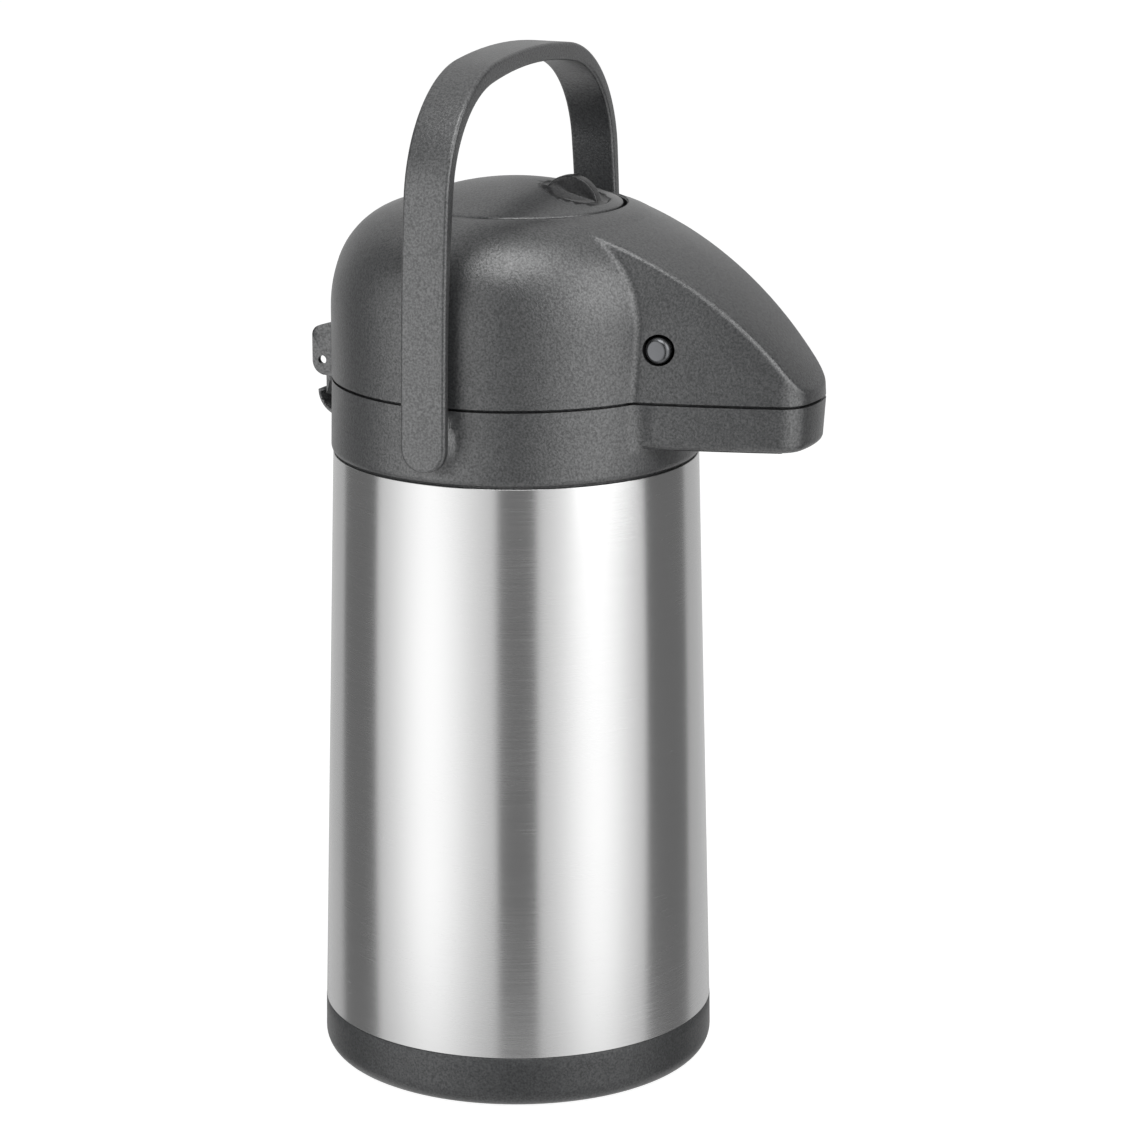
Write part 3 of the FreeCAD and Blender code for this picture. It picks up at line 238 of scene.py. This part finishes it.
def clear_polypropylene(name, colour):
    """Extruded polypropylene tube: milky, waxy and smooth."""
    material = blank_material(name)
    drawing = noise(material, pattern_place(material), 5.0, 2.0)
    tone = tinted(material, spread(material, drawing, 0.0, 1.0), shade(colour, 0.95), shade(colour, 1.03))
    return surface(material, {
        "Base Color": tone,
        "Roughness": spread(material, drawing, 0.28, 0.4),
        "IOR": 1.49,
        "Subsurface Weight": 0.3,
        "Subsurface Scale": 3.0 * MM,
    })


# Meshes

def put_piece(name, mesh, body, material, replaced=()):
    """Links a finished mesh as a piece that rides on a body and stands for CAD nodes."""
    piece = bpy.data.objects.new(name, mesh)
    bpy.context.scene.collection.objects.link(piece)
    mesh.materials.clear()
    mesh.materials.append(material)
    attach(piece, body)
    for node in replaced:
        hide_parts(node)
    return piece


def smooth_by_angle(mesh, degrees):
    mesh.shade_smooth()
    mesh.set_sharp_from_angle(angle=math.radians(degrees))


def welded(node, name):
    """The node's own surface with its facets joined at their corners."""
    mesh = bpy.data.meshes.new(name)
    shape = bmesh.new()
    shape.from_mesh(nodes[node].data)
    bmesh.ops.remove_doubles(shape, verts=shape.verts, dist=0.0005 * MM)
    shape.to_mesh(mesh)
    shape.free()
    return mesh


def moulded_copy(node, name, material, mesh=None, sharp=30.0):
    """The node's own surface, or a mesh made from it, shaded as one smooth skin."""
    mesh = mesh or welded(node, name)
    smooth_by_angle(mesh, sharp)
    return put_piece(name, mesh, nodes[node]["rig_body"], material, [node])


def turned(profile, steps):
    """A shape turned on the jug's axis from its closed half section of (radius, height), in metres."""
    shape = bmesh.new()
    corners = [shape.verts.new((radius, 0, height)) for radius, height in profile]
    edges = [shape.edges.new(pair) for pair in zip(corners, corners[1:] + corners[:1])]
    bmesh.ops.spin(shape, geom=corners + edges, cent=(0, 0, 0), axis=(0, 0, 1),
                   angle=2 * math.pi, steps=steps, use_merge=True)
    bmesh.ops.remove_doubles(shape, verts=shape.verts, dist=0.001 * MM)
    bmesh.ops.recalc_face_normals(shape, faces=shape.faces)
    return shape


def level_edges(shape, radius, height):
    """The edges of a turned shape that run round at a radius and height."""
    def on_circle(vertex):
        return (abs(math.hypot(vertex.co.x, vertex.co.y) - radius) < 0.02 * MM
                and abs(vertex.co.z - height) < 0.02 * MM)
    return [edge for edge in shape.edges if all(on_circle(vertex) for vertex in edge.verts)]


def round_over(shape, edges, radius, segments):
    bmesh.ops.bevel(shape, geom=edges, offset=radius, offset_type="OFFSET", affect="EDGES",
                    segments=segments, profile=0.5, material=-1)


def as_mesh(shape, name, sharp=35.0):
    mesh = bpy.data.meshes.new(name)
    shape.to_mesh(mesh)
    shape.free()
    smooth_by_angle(mesh, sharp)
    return mesh


def cut_away(mesh, tool):
    """A mesh less the space of a tool shape."""
    whole, cutter = bpy.data.objects.new("whole", mesh), bpy.data.objects.new("cutter", as_mesh(tool, "cutter"))
    for part in (whole, cutter):
        bpy.context.scene.collection.objects.link(part)
    cut = whole.modifiers.new("cut", "BOOLEAN")
    cut.operation, cut.solver, cut.object = "DIFFERENCE", "EXACT", cutter
    bpy.context.view_layer.update()
    result = bpy.data.meshes.new_from_object(whole.evaluated_get(bpy.context.evaluated_depsgraph_get()))
    result.name = mesh.name
    for part in (whole, cutter):
        bpy.data.objects.remove(part)
    return result


def hole_reamer(radius, low, high, ease, steps):
    """The tool that trues a round hole on the jug's axis and rounds over its upper edge."""
    turns = [math.radians(degrees) for degrees in range(0, 91, 15)]
    arc = [(radius + ease * (1 - math.cos(turn)), high - ease * (1 - math.sin(turn))) for turn in turns]
    inside, above = radius - 1 * MM, high + 3 * MM
    return turned([(inside, low), (radius, low), *arc, (radius + ease, above), (inside, above)], steps)


def radius_near(node, height, within=0.6):
    """A node's largest radius about the axis near a height, in metres."""
    reach = [math.hypot(v.co.x, v.co.y) for v in nodes[node].data.vertices
             if abs(v.co.z - height) < within * MM]
    return max(reach)


# Sizes and colours that a user would change

def colour_property(name, description, hex_colour):
    return bpy.props.FloatVectorProperty(
        name=name, description=description, subtype="COLOR", size=4, min=0.0, max=1.0,
        default=linear(hex_colour))


class JugFinish(bpy.types.PropertyGroup):
    """Colours and surface grain of the jug."""
    charcoal: colour_property("Charcoal", "Colour of the moulded lid, collar, base and handle", "#2e2f30")
    knob: colour_property("Knob", "Colour of the lock knob and the hidden black mouldings", "#242425")
    button: colour_property("Button", "Colour of the release buttons", "#595a5c")
    inner: colour_property("Inner mouldings", "Colour of the mouldings inside the lid", "#434446")
    steel: colour_property("Steel", "Colour of the brushed casing", "#bababa")
    rubber: colour_property("Rubber", "Colour of the gaskets and seals", "#c9c8c2")
    tube: colour_property("Tube", "Colour of the water tubes", "#e6e6e0")
    grain: bpy.props.FloatProperty(
        name="Grain", description="Width of one grain of the moulded texture, in millimetres",
        default=0.9, min=0.2, max=3.0)
    streak: bpy.props.FloatProperty(
        name="Brush line", description="Height of one line of the brushing, in millimetres",
        default=0.3, min=0.1, max=3.0)


class JugSizes(bpy.types.PropertyGroup):
    """Sizes that only the drawn pieces use."""
    round_steps: bpy.props.IntProperty(
        name="Round steps", description="Facets round the body", default=256, min=48, max=512)
    casing_lip: bpy.props.FloatProperty(
        name="Casing lip", description="Rounding of the casing's cut ends",
        unit="LENGTH", default=0.25 * MM, min=0.0, max=1 * MM)
    casing_wall: bpy.props.FloatProperty(
        name="Casing wall", description="Thickness of the casing's sheet",
        unit="LENGTH", default=0.6 * MM, min=0.2 * MM, max=2 * MM)


    lid_hole: bpy.props.FloatProperty(
        name="Lid hole", description="Radius of the lid's hole for the press plate",
        unit="LENGTH", default=46.03 * MM, min=10 * MM, max=70 * MM)
    lid_hole_drop: bpy.props.FloatProperty(
        name="Lid hole drop", description="How far the hole's edge lies below the press plate's top",
        unit="LENGTH", default=9.6 * MM, min=0.0, max=30 * MM)
    lid_hole_ease: bpy.props.FloatProperty(
        name="Lid hole ease", description="Rounding of the hole's upper edge",
        unit="LENGTH", default=0.9 * MM, min=0.1 * MM, max=2 * MM)


def finish_of(context):
    return context.scene.jug_finish


def sizes_of(context):
    return context.scene.jug_sizes


def charcoal_abs(finish):
    found = bpy.data.materials.get("charcoal_abs")
    return found or textured_abs("charcoal_abs", finish.charcoal, finish.grain, 0.34, 1.0)


def foot_abs(finish):
    found = bpy.data.materials.get("foot_abs")
    return found or textured_abs("foot_abs", finish.charcoal, finish.grain, 0.42, 0.5, 0.08)


def black_abs(finish):
    found = bpy.data.materials.get("black_abs")
    return found or textured_abs("black_abs", finish.knob, finish.grain, 0.3, 0.4, 0.02)


def inner_abs(finish):
    found = bpy.data.materials.get("inner_abs")
    return found or textured_abs("inner_abs", finish.inner, 1.4, 0.4, 0.5, 0.01)


def silicone_rubber(finish):
    return bpy.data.materials.get("silicone_rubber") or silicone("silicone_rubber", finish.rubber)


def drawn_steel(finish):
    return bpy.data.materials.get("drawn_steel") or plain_steel("drawn_steel", finish.steel, 0.3)


def tube_polypropylene(finish):
    found = bpy.data.materials.get("tube_polypropylene")
    return found or clear_polypropylene("tube_polypropylene", finish.tube)


# Pieces

class JUG_OT_casing(bpy.types.Operator):
    """Turns the tapered steel casing and brushes it."""
    bl_idname = "jug.casing"
    bl_label = "Steel casing"

    def execute(self, context):
        sizes, finish = sizes_of(context), finish_of(context)
        low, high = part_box("outer_casing")
        low_radius = radius_near("outer_casing", low.z)
        high_radius = radius_near("outer_casing", high.z)
        shape = turned([
            (low_radius, low.z),
            (high_radius, high.z),
            (high_radius - sizes.casing_wall, high.z),
            (low_radius - sizes.casing_wall, low.z),
        ], sizes.round_steps)
        ends = level_edges(shape, low_radius, low.z) + level_edges(shape, high_radius, high.z)
        round_over(shape, ends, sizes.casing_lip, 3)
        steel = brushed_steel("brushed_stainless", finish.steel, finish.streak, 0.24)
        put_piece("steel_casing", as_mesh(shape, "steel_casing"), "jug", steel,
                  ["outer_casing"])
        return {"FINISHED"}


class JUG_OT_base(bpy.types.Operator):
    """Dresses the base ring, its screwed cap and the ring that the flask stands on."""
    bl_idname = "jug.base"
    bl_label = "Base"

    def execute(self, context):
        finish = finish_of(context)
        moulded_copy("base_cup", "base_ring", foot_abs(finish))
        moulded_copy("base_cap", "screw_cap", black_abs(finish))
        moulded_copy("flask_cushion", "flask_rest", silicone_rubber(finish))
        return {"FINISHED"}


class JUG_OT_flask(bpy.types.Operator):
    """Dresses the double steel flask, its mouth and the tube that draws the drink up."""
    bl_idname = "jug.flask"
    bl_label = "Flask and mouth"

    def execute(self, context):
        finish = finish_of(context)
        for node in ("flask_inner_wall", "flask_outer_wall"):
            moulded_copy(node, node + "_skin", drawn_steel(finish))
        moulded_copy("mouth_ring", "mouth_moulding", inner_abs(finish))
        moulded_copy("neck_gasket", "neck_seal", silicone_rubber(finish))
        moulded_copy("riser_tube", "draw_tube", tube_polypropylene(finish))
        moulded_copy("riser_seal", "draw_tube_seal", silicone_rubber(finish))
        return {"FINISHED"}


class JUG_OT_collar(bpy.types.Operator):
    """Dresses the collar with its jaw, and the hinge pin in its lugs."""
    bl_idname = "jug.collar"
    bl_label = "Collar"

    def execute(self, context):
        finish = finish_of(context)
        moulded_copy("collar", "collar_moulding", charcoal_abs(finish))
        moulded_copy("hinge_pin", "hinge_rod", drawn_steel(finish))
        return {"FINISHED"}


class JUG_OT_spout(bpy.types.Operator):
    """Dresses the pipe through the jaw, the nozzle and the cover with its screws."""
    bl_idname = "jug.spout"
    bl_label = "Spout"

    def execute(self, context):
        finish = finish_of(context)
        moulded_copy("discharge_pipe", "spout_pipe", tube_polypropylene(finish))
        moulded_copy("spout_nozzle", "nozzle", black_abs(finish))
        moulded_copy("spout_cover", "jaw_cover", black_abs(finish))
        moulded_copy("cover_screws", "jaw_screws", drawn_steel(finish))
        return {"FINISHED"}


class JUG_OT_lid(bpy.types.Operator):
    """Dresses the lid's one-piece moulding and the underplate that closes it."""
    bl_idname = "jug.lid"
    bl_label = "Lid"

    def execute(self, context):
        finish = finish_of(context)
        sizes = sizes_of(context)
        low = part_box("lid_shell")[0].z - 1 * MM
        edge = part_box("press_plate")[1].z - sizes.lid_hole_drop
        tool = hole_reamer(sizes.lid_hole, low, edge, sizes.lid_hole_ease, sizes.round_steps)
        shell = cut_away(welded("lid_shell", "lid_moulding"), tool)
        moulded_copy("lid_shell", "lid_moulding", charcoal_abs(finish), shell)
        moulded_copy("lid_underplate", "lid_floor", inner_abs(finish))
        moulded_copy("lid_screws", "lid_floor_screws", drawn_steel(finish))
        moulded_copy("lid_gasket", "lid_seal", silicone_rubber(finish))
        moulded_copy("check_valve", "flap_valve", silicone_rubber(finish))
        return {"FINISHED"}


class JUG_OT_pump(bpy.types.Operator):
    """Dresses the press plate, the pump head, the bellows and the return spring."""
    bl_idname = "jug.pump"
    bl_label = "Pump"

    def execute(self, context):
        finish = finish_of(context)
        moulded_copy("press_plate", "press_disc", charcoal_abs(finish))
        moulded_copy("pump_head", "pump_disc", inner_abs(finish))
        skin = moulded_copy("bellows", "bellows_skin", silicone_rubber(finish))
        coil = moulded_copy("return_spring", "coil", drawn_steel(finish))
        low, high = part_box("bellows")
        for vertex in skin.data.vertices:
            vertex.co.z = min(vertex.co.z, high.z - TOP_GAP)
        # each gets a mesh of its own
        for soft in (skin, coil):
            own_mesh(soft)
        return {"FINISHED"}


class JUG_OT_lock(bpy.types.Operator):
    """Dresses the lock knob with its fin, and the cam on its stem."""
    bl_idname = "jug.lock"
    bl_label = "Lock knob"

    def execute(self, context):
        finish = finish_of(context)
        moulded_copy("lock_knob", "finned_knob", black_abs(finish))
        moulded_copy("lock_cam", "knob_cam", inner_abs(finish))
        return {"FINISHED"}


class JUG_OT_buttons(bpy.types.Operator):
    """Dresses the two release buttons and their latches."""
    bl_idname = "jug.buttons"
    bl_label = "Release buttons"

    def execute(self, context):
        finish = finish_of(context)
        chrome = chromed_abs("chromed_abs", finish.button, 0.2)
        for side in ("left", "right"):
            moulded_copy(f"release_button_{side}", f"button_{side}", chrome)
            moulded_copy(f"latch_{side}", f"catch_{side}", inner_abs(finish))
        return {"FINISHED"}


class JUG_OT_handle(bpy.types.Operator):
    """Dresses the strap handle and the pins that it swings on."""
    bl_idname = "jug.handle"
    bl_label = "Handle"

    def execute(self, context):
        finish = finish_of(context)
        moulded_copy("handle", "strap_handle", charcoal_abs(finish))
        for side in ("left", "right"):
            moulded_copy(f"handle_pin_{side}", f"swing_pin_{side}", black_abs(finish))
        return {"FINISHED"}


# Stage

class JugStage(bpy.types.PropertyGroup):
    """Camera and light, with bearings counted from the view along +Y, towards +X."""
    camera_place: bpy.props.FloatVectorProperty(
        name="Camera place", description="Where the camera stands", subtype="TRANSLATION",
        unit="LENGTH", size=3, default=(0.6594, -1.4140, 0.6142))
    camera_bearing: bpy.props.FloatProperty(
        name="Camera bearing", description="How far the camera's gaze is turned from +Y towards -X",
        subtype="ANGLE", default=math.radians(24.161))
    camera_dip: bpy.props.FloatProperty(
        name="Camera dip", description="How far the camera looks down",
        subtype="ANGLE", default=math.radians(14.529))
    lens: bpy.props.FloatProperty(
        name="Lens", description="Focal length for a 36 mm wide sensor, in millimetres",
        default=120.26, min=20.0, max=400.0)
    key_power: bpy.props.FloatProperty(
        name="Key power", description="Power of the lamp in front and above", subtype="POWER",
        default=16.0, min=0.0)
    fill_power: bpy.props.FloatProperty(
        name="Fill power", description="Power of the lamp at the left", subtype="POWER",
        default=7.0, min=0.0)
    sky: bpy.props.FloatProperty(
        name="Sky", description="Strength of the even light from all round", default=0.3, min=0.0)
    front: bpy.props.FloatProperty(
        name="Front", description="Bearing of the dark gap between the panels, the camera's side",
        subtype="ANGLE", default=math.radians(25.0))
    tent_radius: bpy.props.FloatProperty(
        name="Tent radius", description="Distance of the panels and flags from the jug's axis",
        unit="LENGTH", default=0.9, min=0.3)


def around(bearing, distance, height):
    """A place at a bearing from the jug's axis, counted clockwise from the front as seen from above."""
    angle = math.radians(bearing)
    return Vector((math.sin(angle) * distance, -math.cos(angle) * distance, height))


def lamp(name, place, target, size, power):
    """A soft lamp for the light on the jug; the panels alone show in its gloss."""
    light = bpy.data.lights.new(name, "AREA")
    light.shape = "RECTANGLE"
    light.size, light.size_y = size
    light.energy = power
    holder = bpy.data.objects.new(name, light)
    holder.location = place
    holder.rotation_euler = (target - place).to_track_quat("-Z", "Y").to_euler()
    holder.visible_glossy = False
    bpy.context.scene.collection.objects.link(holder)


def seen_or_mirrored(material):
    """1 for what the camera sees directly, in a mirror or through glass, and 0 for light on things."""
    rays = add_node(material, "ShaderNodeLightPath")
    either = add_node(material, "ShaderNodeMath", {"operation": "MAXIMUM"}, {
        0: rays.outputs["Is Camera Ray"], 1: rays.outputs["Is Glossy Ray"]})
    any_of = add_node(material, "ShaderNodeMath", {"operation": "MAXIMUM"}, {
        0: either.outputs["Value"], 1: rays.outputs["Is Transmission Ray"]})
    return any_of.outputs["Value"]


def white_board():
    """Painted board: white, and half lit from within where it is seen, so that shadows stay faint."""
    material = blank_material("white_board")
    paint = add_node(material, "ShaderNodeBsdfDiffuse", inputs={"Color": linear("#efefef")})
    glow = add_node(material, "ShaderNodeEmission", inputs={"Color": linear("#ffffff"), "Strength": 1.5})
    share = add_node(material, "ShaderNodeMath", {"operation": "MULTIPLY"}, {
        0: seen_or_mirrored(material), 1: 0.62})
    mixed = add_node(material, "ShaderNodeMixShader", inputs={
        0: share.outputs["Value"], 1: paint.outputs["BSDF"], 2: glow.outputs["Emission"]})
    add_node(material, "ShaderNodeOutputMaterial", inputs={"Surface": mixed.outputs["Shader"]})
    return material


def fading(material, value, middle, near, far, high, low):
    """High where the value is near its middle, sinking smoothly to low at the far distance from it."""
    offset = add_node(material, "ShaderNodeMath", {"operation": "SUBTRACT"}, {0: value, 1: middle})
    distance = add_node(material, "ShaderNodeMath", {"operation": "ABSOLUTE"}, {0: offset.outputs["Value"]})
    mapped = add_node(material, "ShaderNodeMapRange", {"interpolation_type": "SMOOTHSTEP"}, {
        "Value": distance.outputs["Value"], "From Min": near, "From Max": far,
        "To Min": high, "To Max": low})
    return mapped.outputs["Result"]


def lit_cloth(name, centre, half_width, edge, middle):
    """Diffusing cloth of a panel: brightest at its middle and weaker at its sides and ends."""
    material = blank_material(name)
    place = add_node(material, "ShaderNodeTexCoord")
    parts = add_node(material, "ShaderNodeSeparateXYZ", inputs={"Vector": place.outputs["Object"]})
    front = add_node(material, "ShaderNodeMath", {"operation": "MULTIPLY"}, {0: parts.outputs["Y"], 1: -1.0})
    bearing = add_node(material, "ShaderNodeMath", {"operation": "ARCTAN2"}, {
        0: parts.outputs["X"], 1: front.outputs["Value"]})
    across = fading(material, bearing.outputs["Value"], centre, 0.0, half_width, middle, edge)
    upright = fading(material, parts.outputs["Z"], 0.1, 0.45, 0.85, 1.15, 0.35)
    strength = add_node(material, "ShaderNodeMath", {"operation": "MULTIPLY"}, {0: across, 1: upright})
    cloth = add_node(material, "ShaderNodeEmission", inputs={
        "Color": linear("#ffffff"), "Strength": strength.outputs["Value"]})
    add_node(material, "ShaderNodeOutputMaterial", inputs={"Surface": cloth.outputs["Emission"]})
    return material


def evenly_lit(name, hex_colour, strength=1.0):
    """Cloth or felt with the same brightness all over."""
    material = blank_material(name)
    cloth = add_node(material, "ShaderNodeEmission", inputs={
        "Color": linear(hex_colour), "Strength": strength})
    add_node(material, "ShaderNodeOutputMaterial", inputs={"Surface": cloth.outputs["Emission"]})
    return material


def only_in_gloss(card):
    """Hides a panel or flag from everything but reflections."""
    card.visible_camera = False
    card.visible_diffuse = False
    card.visible_shadow = False
    card.visible_transmission = False


def curved_card(name, first, last, radius, low, high, material):
    """An upright card bent round the jug from one bearing to another."""
    shape = bmesh.new()
    start = around(math.degrees(first), radius, 0)
    ends = [shape.verts.new((start.x, start.y, height)) for height in (low, high)]
    edge = shape.edges.new(ends)
    steps = math.ceil(math.degrees(last - first) / 4)
    bmesh.ops.spin(shape, geom=ends + [edge], cent=(0, 0, 0), axis=(0, 0, 1),
                   angle=last - first, steps=steps)
    mesh = bpy.data.meshes.new(name)
    shape.to_mesh(mesh)
    shape.free()
    mesh.materials.append(material)
    card = bpy.data.objects.new(name, mesh)
    bpy.context.scene.collection.objects.link(card)
    only_in_gloss(card)


def ceiling_panel(name, place, target, size, material):
    """A flat soft panel overhead that faces the jug."""
    shape = bmesh.new()
    bmesh.ops.create_grid(shape, x_segments=1, y_segments=1, size=size / 2)
    turn = (target - place).to_track_quat("-Z", "Y").to_matrix()
    bmesh.ops.rotate(shape, cent=(0, 0, 0), matrix=turn, verts=shape.verts)
    bmesh.ops.translate(shape, vec=place, verts=shape.verts)
    mesh = bpy.data.meshes.new(name)
    shape.to_mesh(mesh)
    shape.free()
    mesh.materials.append(material)
    card = bpy.data.objects.new(name, mesh)
    bpy.context.scene.collection.objects.link(card)
    only_in_gloss(card)


class JUG_OT_stage(bpy.types.Operator):
    """Sets the camera, the pale floor, the even sky, two soft boxes and three flags."""
    bl_idname = "jug.stage"
    bl_label = "Stage"

    def execute(self, context):
        stage = context.scene.jug_stage
        scene = context.scene
        scene.view_settings.view_transform = "Standard"

        lens = bpy.data.cameras.new("camera")
        lens.sensor_width = 36.0
        lens.lens = stage.lens
        camera = bpy.data.objects.new("camera", lens)
        scene.collection.objects.link(camera)
        gaze = Vector((
            -math.sin(stage.camera_bearing) * math.cos(stage.camera_dip),
            math.cos(stage.camera_bearing) * math.cos(stage.camera_dip),
            -math.sin(stage.camera_dip),
        ))
        camera.location = stage.camera_place
        camera.rotation_euler = gaze.to_track_quat("-Z", "Y").to_euler()
        scene.camera = camera

        shape = bmesh.new()
        bmesh.ops.create_grid(shape, x_segments=1, y_segments=1, size=12)
        mesh = bpy.data.meshes.new("floor")
        shape.to_mesh(mesh)
        shape.free()
        mesh.materials.append(white_board())
        floor = bpy.data.objects.new("floor", mesh)
        floor.visible_glossy = False
        scene.collection.objects.link(floor)

        world = bpy.data.worlds.new("studio")
        world.use_nodes = True
        world.node_tree.nodes.clear()
        seen = seen_or_mirrored(world)
        strength = add_node(world, "ShaderNodeMapRange", inputs={
            "Value": seen, "To Min": stage.sky, "To Max": 1.0})
        sky = add_node(world, "ShaderNodeBackground", inputs={
            "Color": linear("#ffffff"), "Strength": strength.outputs["Result"]})
        add_node(world, "ShaderNodeOutputWorld", inputs={"Surface": sky.outputs["Background"]})
        scene.world = world

        middle = Vector((0, 0, 0.25))
        front = math.degrees(stage.front)
        lamp("key", around(front + 15, 1.3, 1.3), middle, (0.8, 0.8), stage.key_power)
        lamp("fill", around(front - 60, 1.4, 0.8), middle, (0.6, 1.0), stage.fill_power)

        # two panels with a dark gap between them, black flags beside them, and the rear left open
        gap = math.radians(11.5)
        flag_right, flag_left = math.radians(123), math.radians(128)
        right_edge, left_edge = math.radians(82), math.radians(91.5)
        low, high = -0.7, 1.2
        felt = evenly_lit("black_felt", "#888888")
        curved_card("flag_round", stage.front - flag_left, stage.front + flag_right,
                    stage.tent_radius * 1.05, low, high, felt)
        for name, first, last in (
            ("panel_right", stage.front + gap, stage.front + right_edge),
            ("panel_left", stage.front - left_edge, stage.front - gap),
        ):
            centre, half_width = (first + last) / 2, (last - first) / 2
            cloth = lit_cloth(name + "_cloth", centre, half_width, 0.95, 1.8)
            curved_card(name, first, last, stage.tent_radius, low, high, cloth)
        rear = evenly_lit("rear_cloth", "#ffffff", 0.7)
        curved_card("panel_rear", stage.front + flag_right, stage.front + math.radians(360) - flag_left,
                    stage.tent_radius * 1.05, low, high, rear)
        overhead = evenly_lit("overhead_cloth", "#ffffff", 4.4)
        ceiling_panel("panel_top", around(front - 6, 0.55, 1.3), Vector((0, 0, 0.33)), 0.75, overhead)
        curved_card("panel_side", stage.front + math.radians(34), stage.front + math.radians(78),
                    stage.tent_radius * 0.97, 0.38, 1.25, evenly_lit("side_cloth", "#ffffff", 3.2))
        return {"FINISHED"}


class JUG_PT_panel(bpy.types.Panel):
    """Lists the jug's pieces, sizes and colours."""
    bl_idname = "JUG_PT_panel"
    bl_label = "Pump vacuum jug"
    bl_space_type = "VIEW_3D"
    bl_region_type = "UI"
    bl_category = "Jug"

    def draw(self, context):
        for group in (finish_of(context), sizes_of(context), context.scene.jug_stage):
            box = self.layout.box()
            for name in group.bl_rna.properties.keys():
                if name not in ("rna_type", "name"):
                    box.prop(group, name)
        for operator in OPERATORS:
            self.layout.operator(operator.bl_idname)


OPERATORS = (
    JUG_OT_casing,
    JUG_OT_base,
    JUG_OT_flask,
    JUG_OT_collar,
    JUG_OT_spout,
    JUG_OT_lid,
    JUG_OT_pump,
    JUG_OT_lock,
    JUG_OT_buttons,
    JUG_OT_handle,
    JUG_OT_stage,
)
GROUPS = {"jug_finish": JugFinish, "jug_sizes": JugSizes, "jug_stage": JugStage}


def register():
    for name, group in GROUPS.items():
        bpy.utils.register_class(group)
        setattr(bpy.types.Scene, name, bpy.props.PointerProperty(type=group))
    for operator in OPERATORS:
        bpy.utils.register_class(operator)
    bpy.utils.register_class(JUG_PT_panel)


def unregister():
    bpy.utils.unregister_class(JUG_PT_panel)
    for operator in reversed(OPERATORS):
        bpy.utils.unregister_class(operator)
    for name, group in GROUPS.items():
        delattr(bpy.types.Scene, name)
        bpy.utils.unregister_class(group)


def main():
    register()
    bpy.ops.jug.casing()
    bpy.ops.jug.base()
    bpy.ops.jug.flask()
    bpy.ops.jug.collar()
    bpy.ops.jug.spout()
    bpy.ops.jug.lid()
    bpy.ops.jug.pump()
    bpy.ops.jug.lock()
    bpy.ops.jug.buttons()
    bpy.ops.jug.handle()
    bpy.ops.jug.stage()


if __name__ == "__main__":
    main()
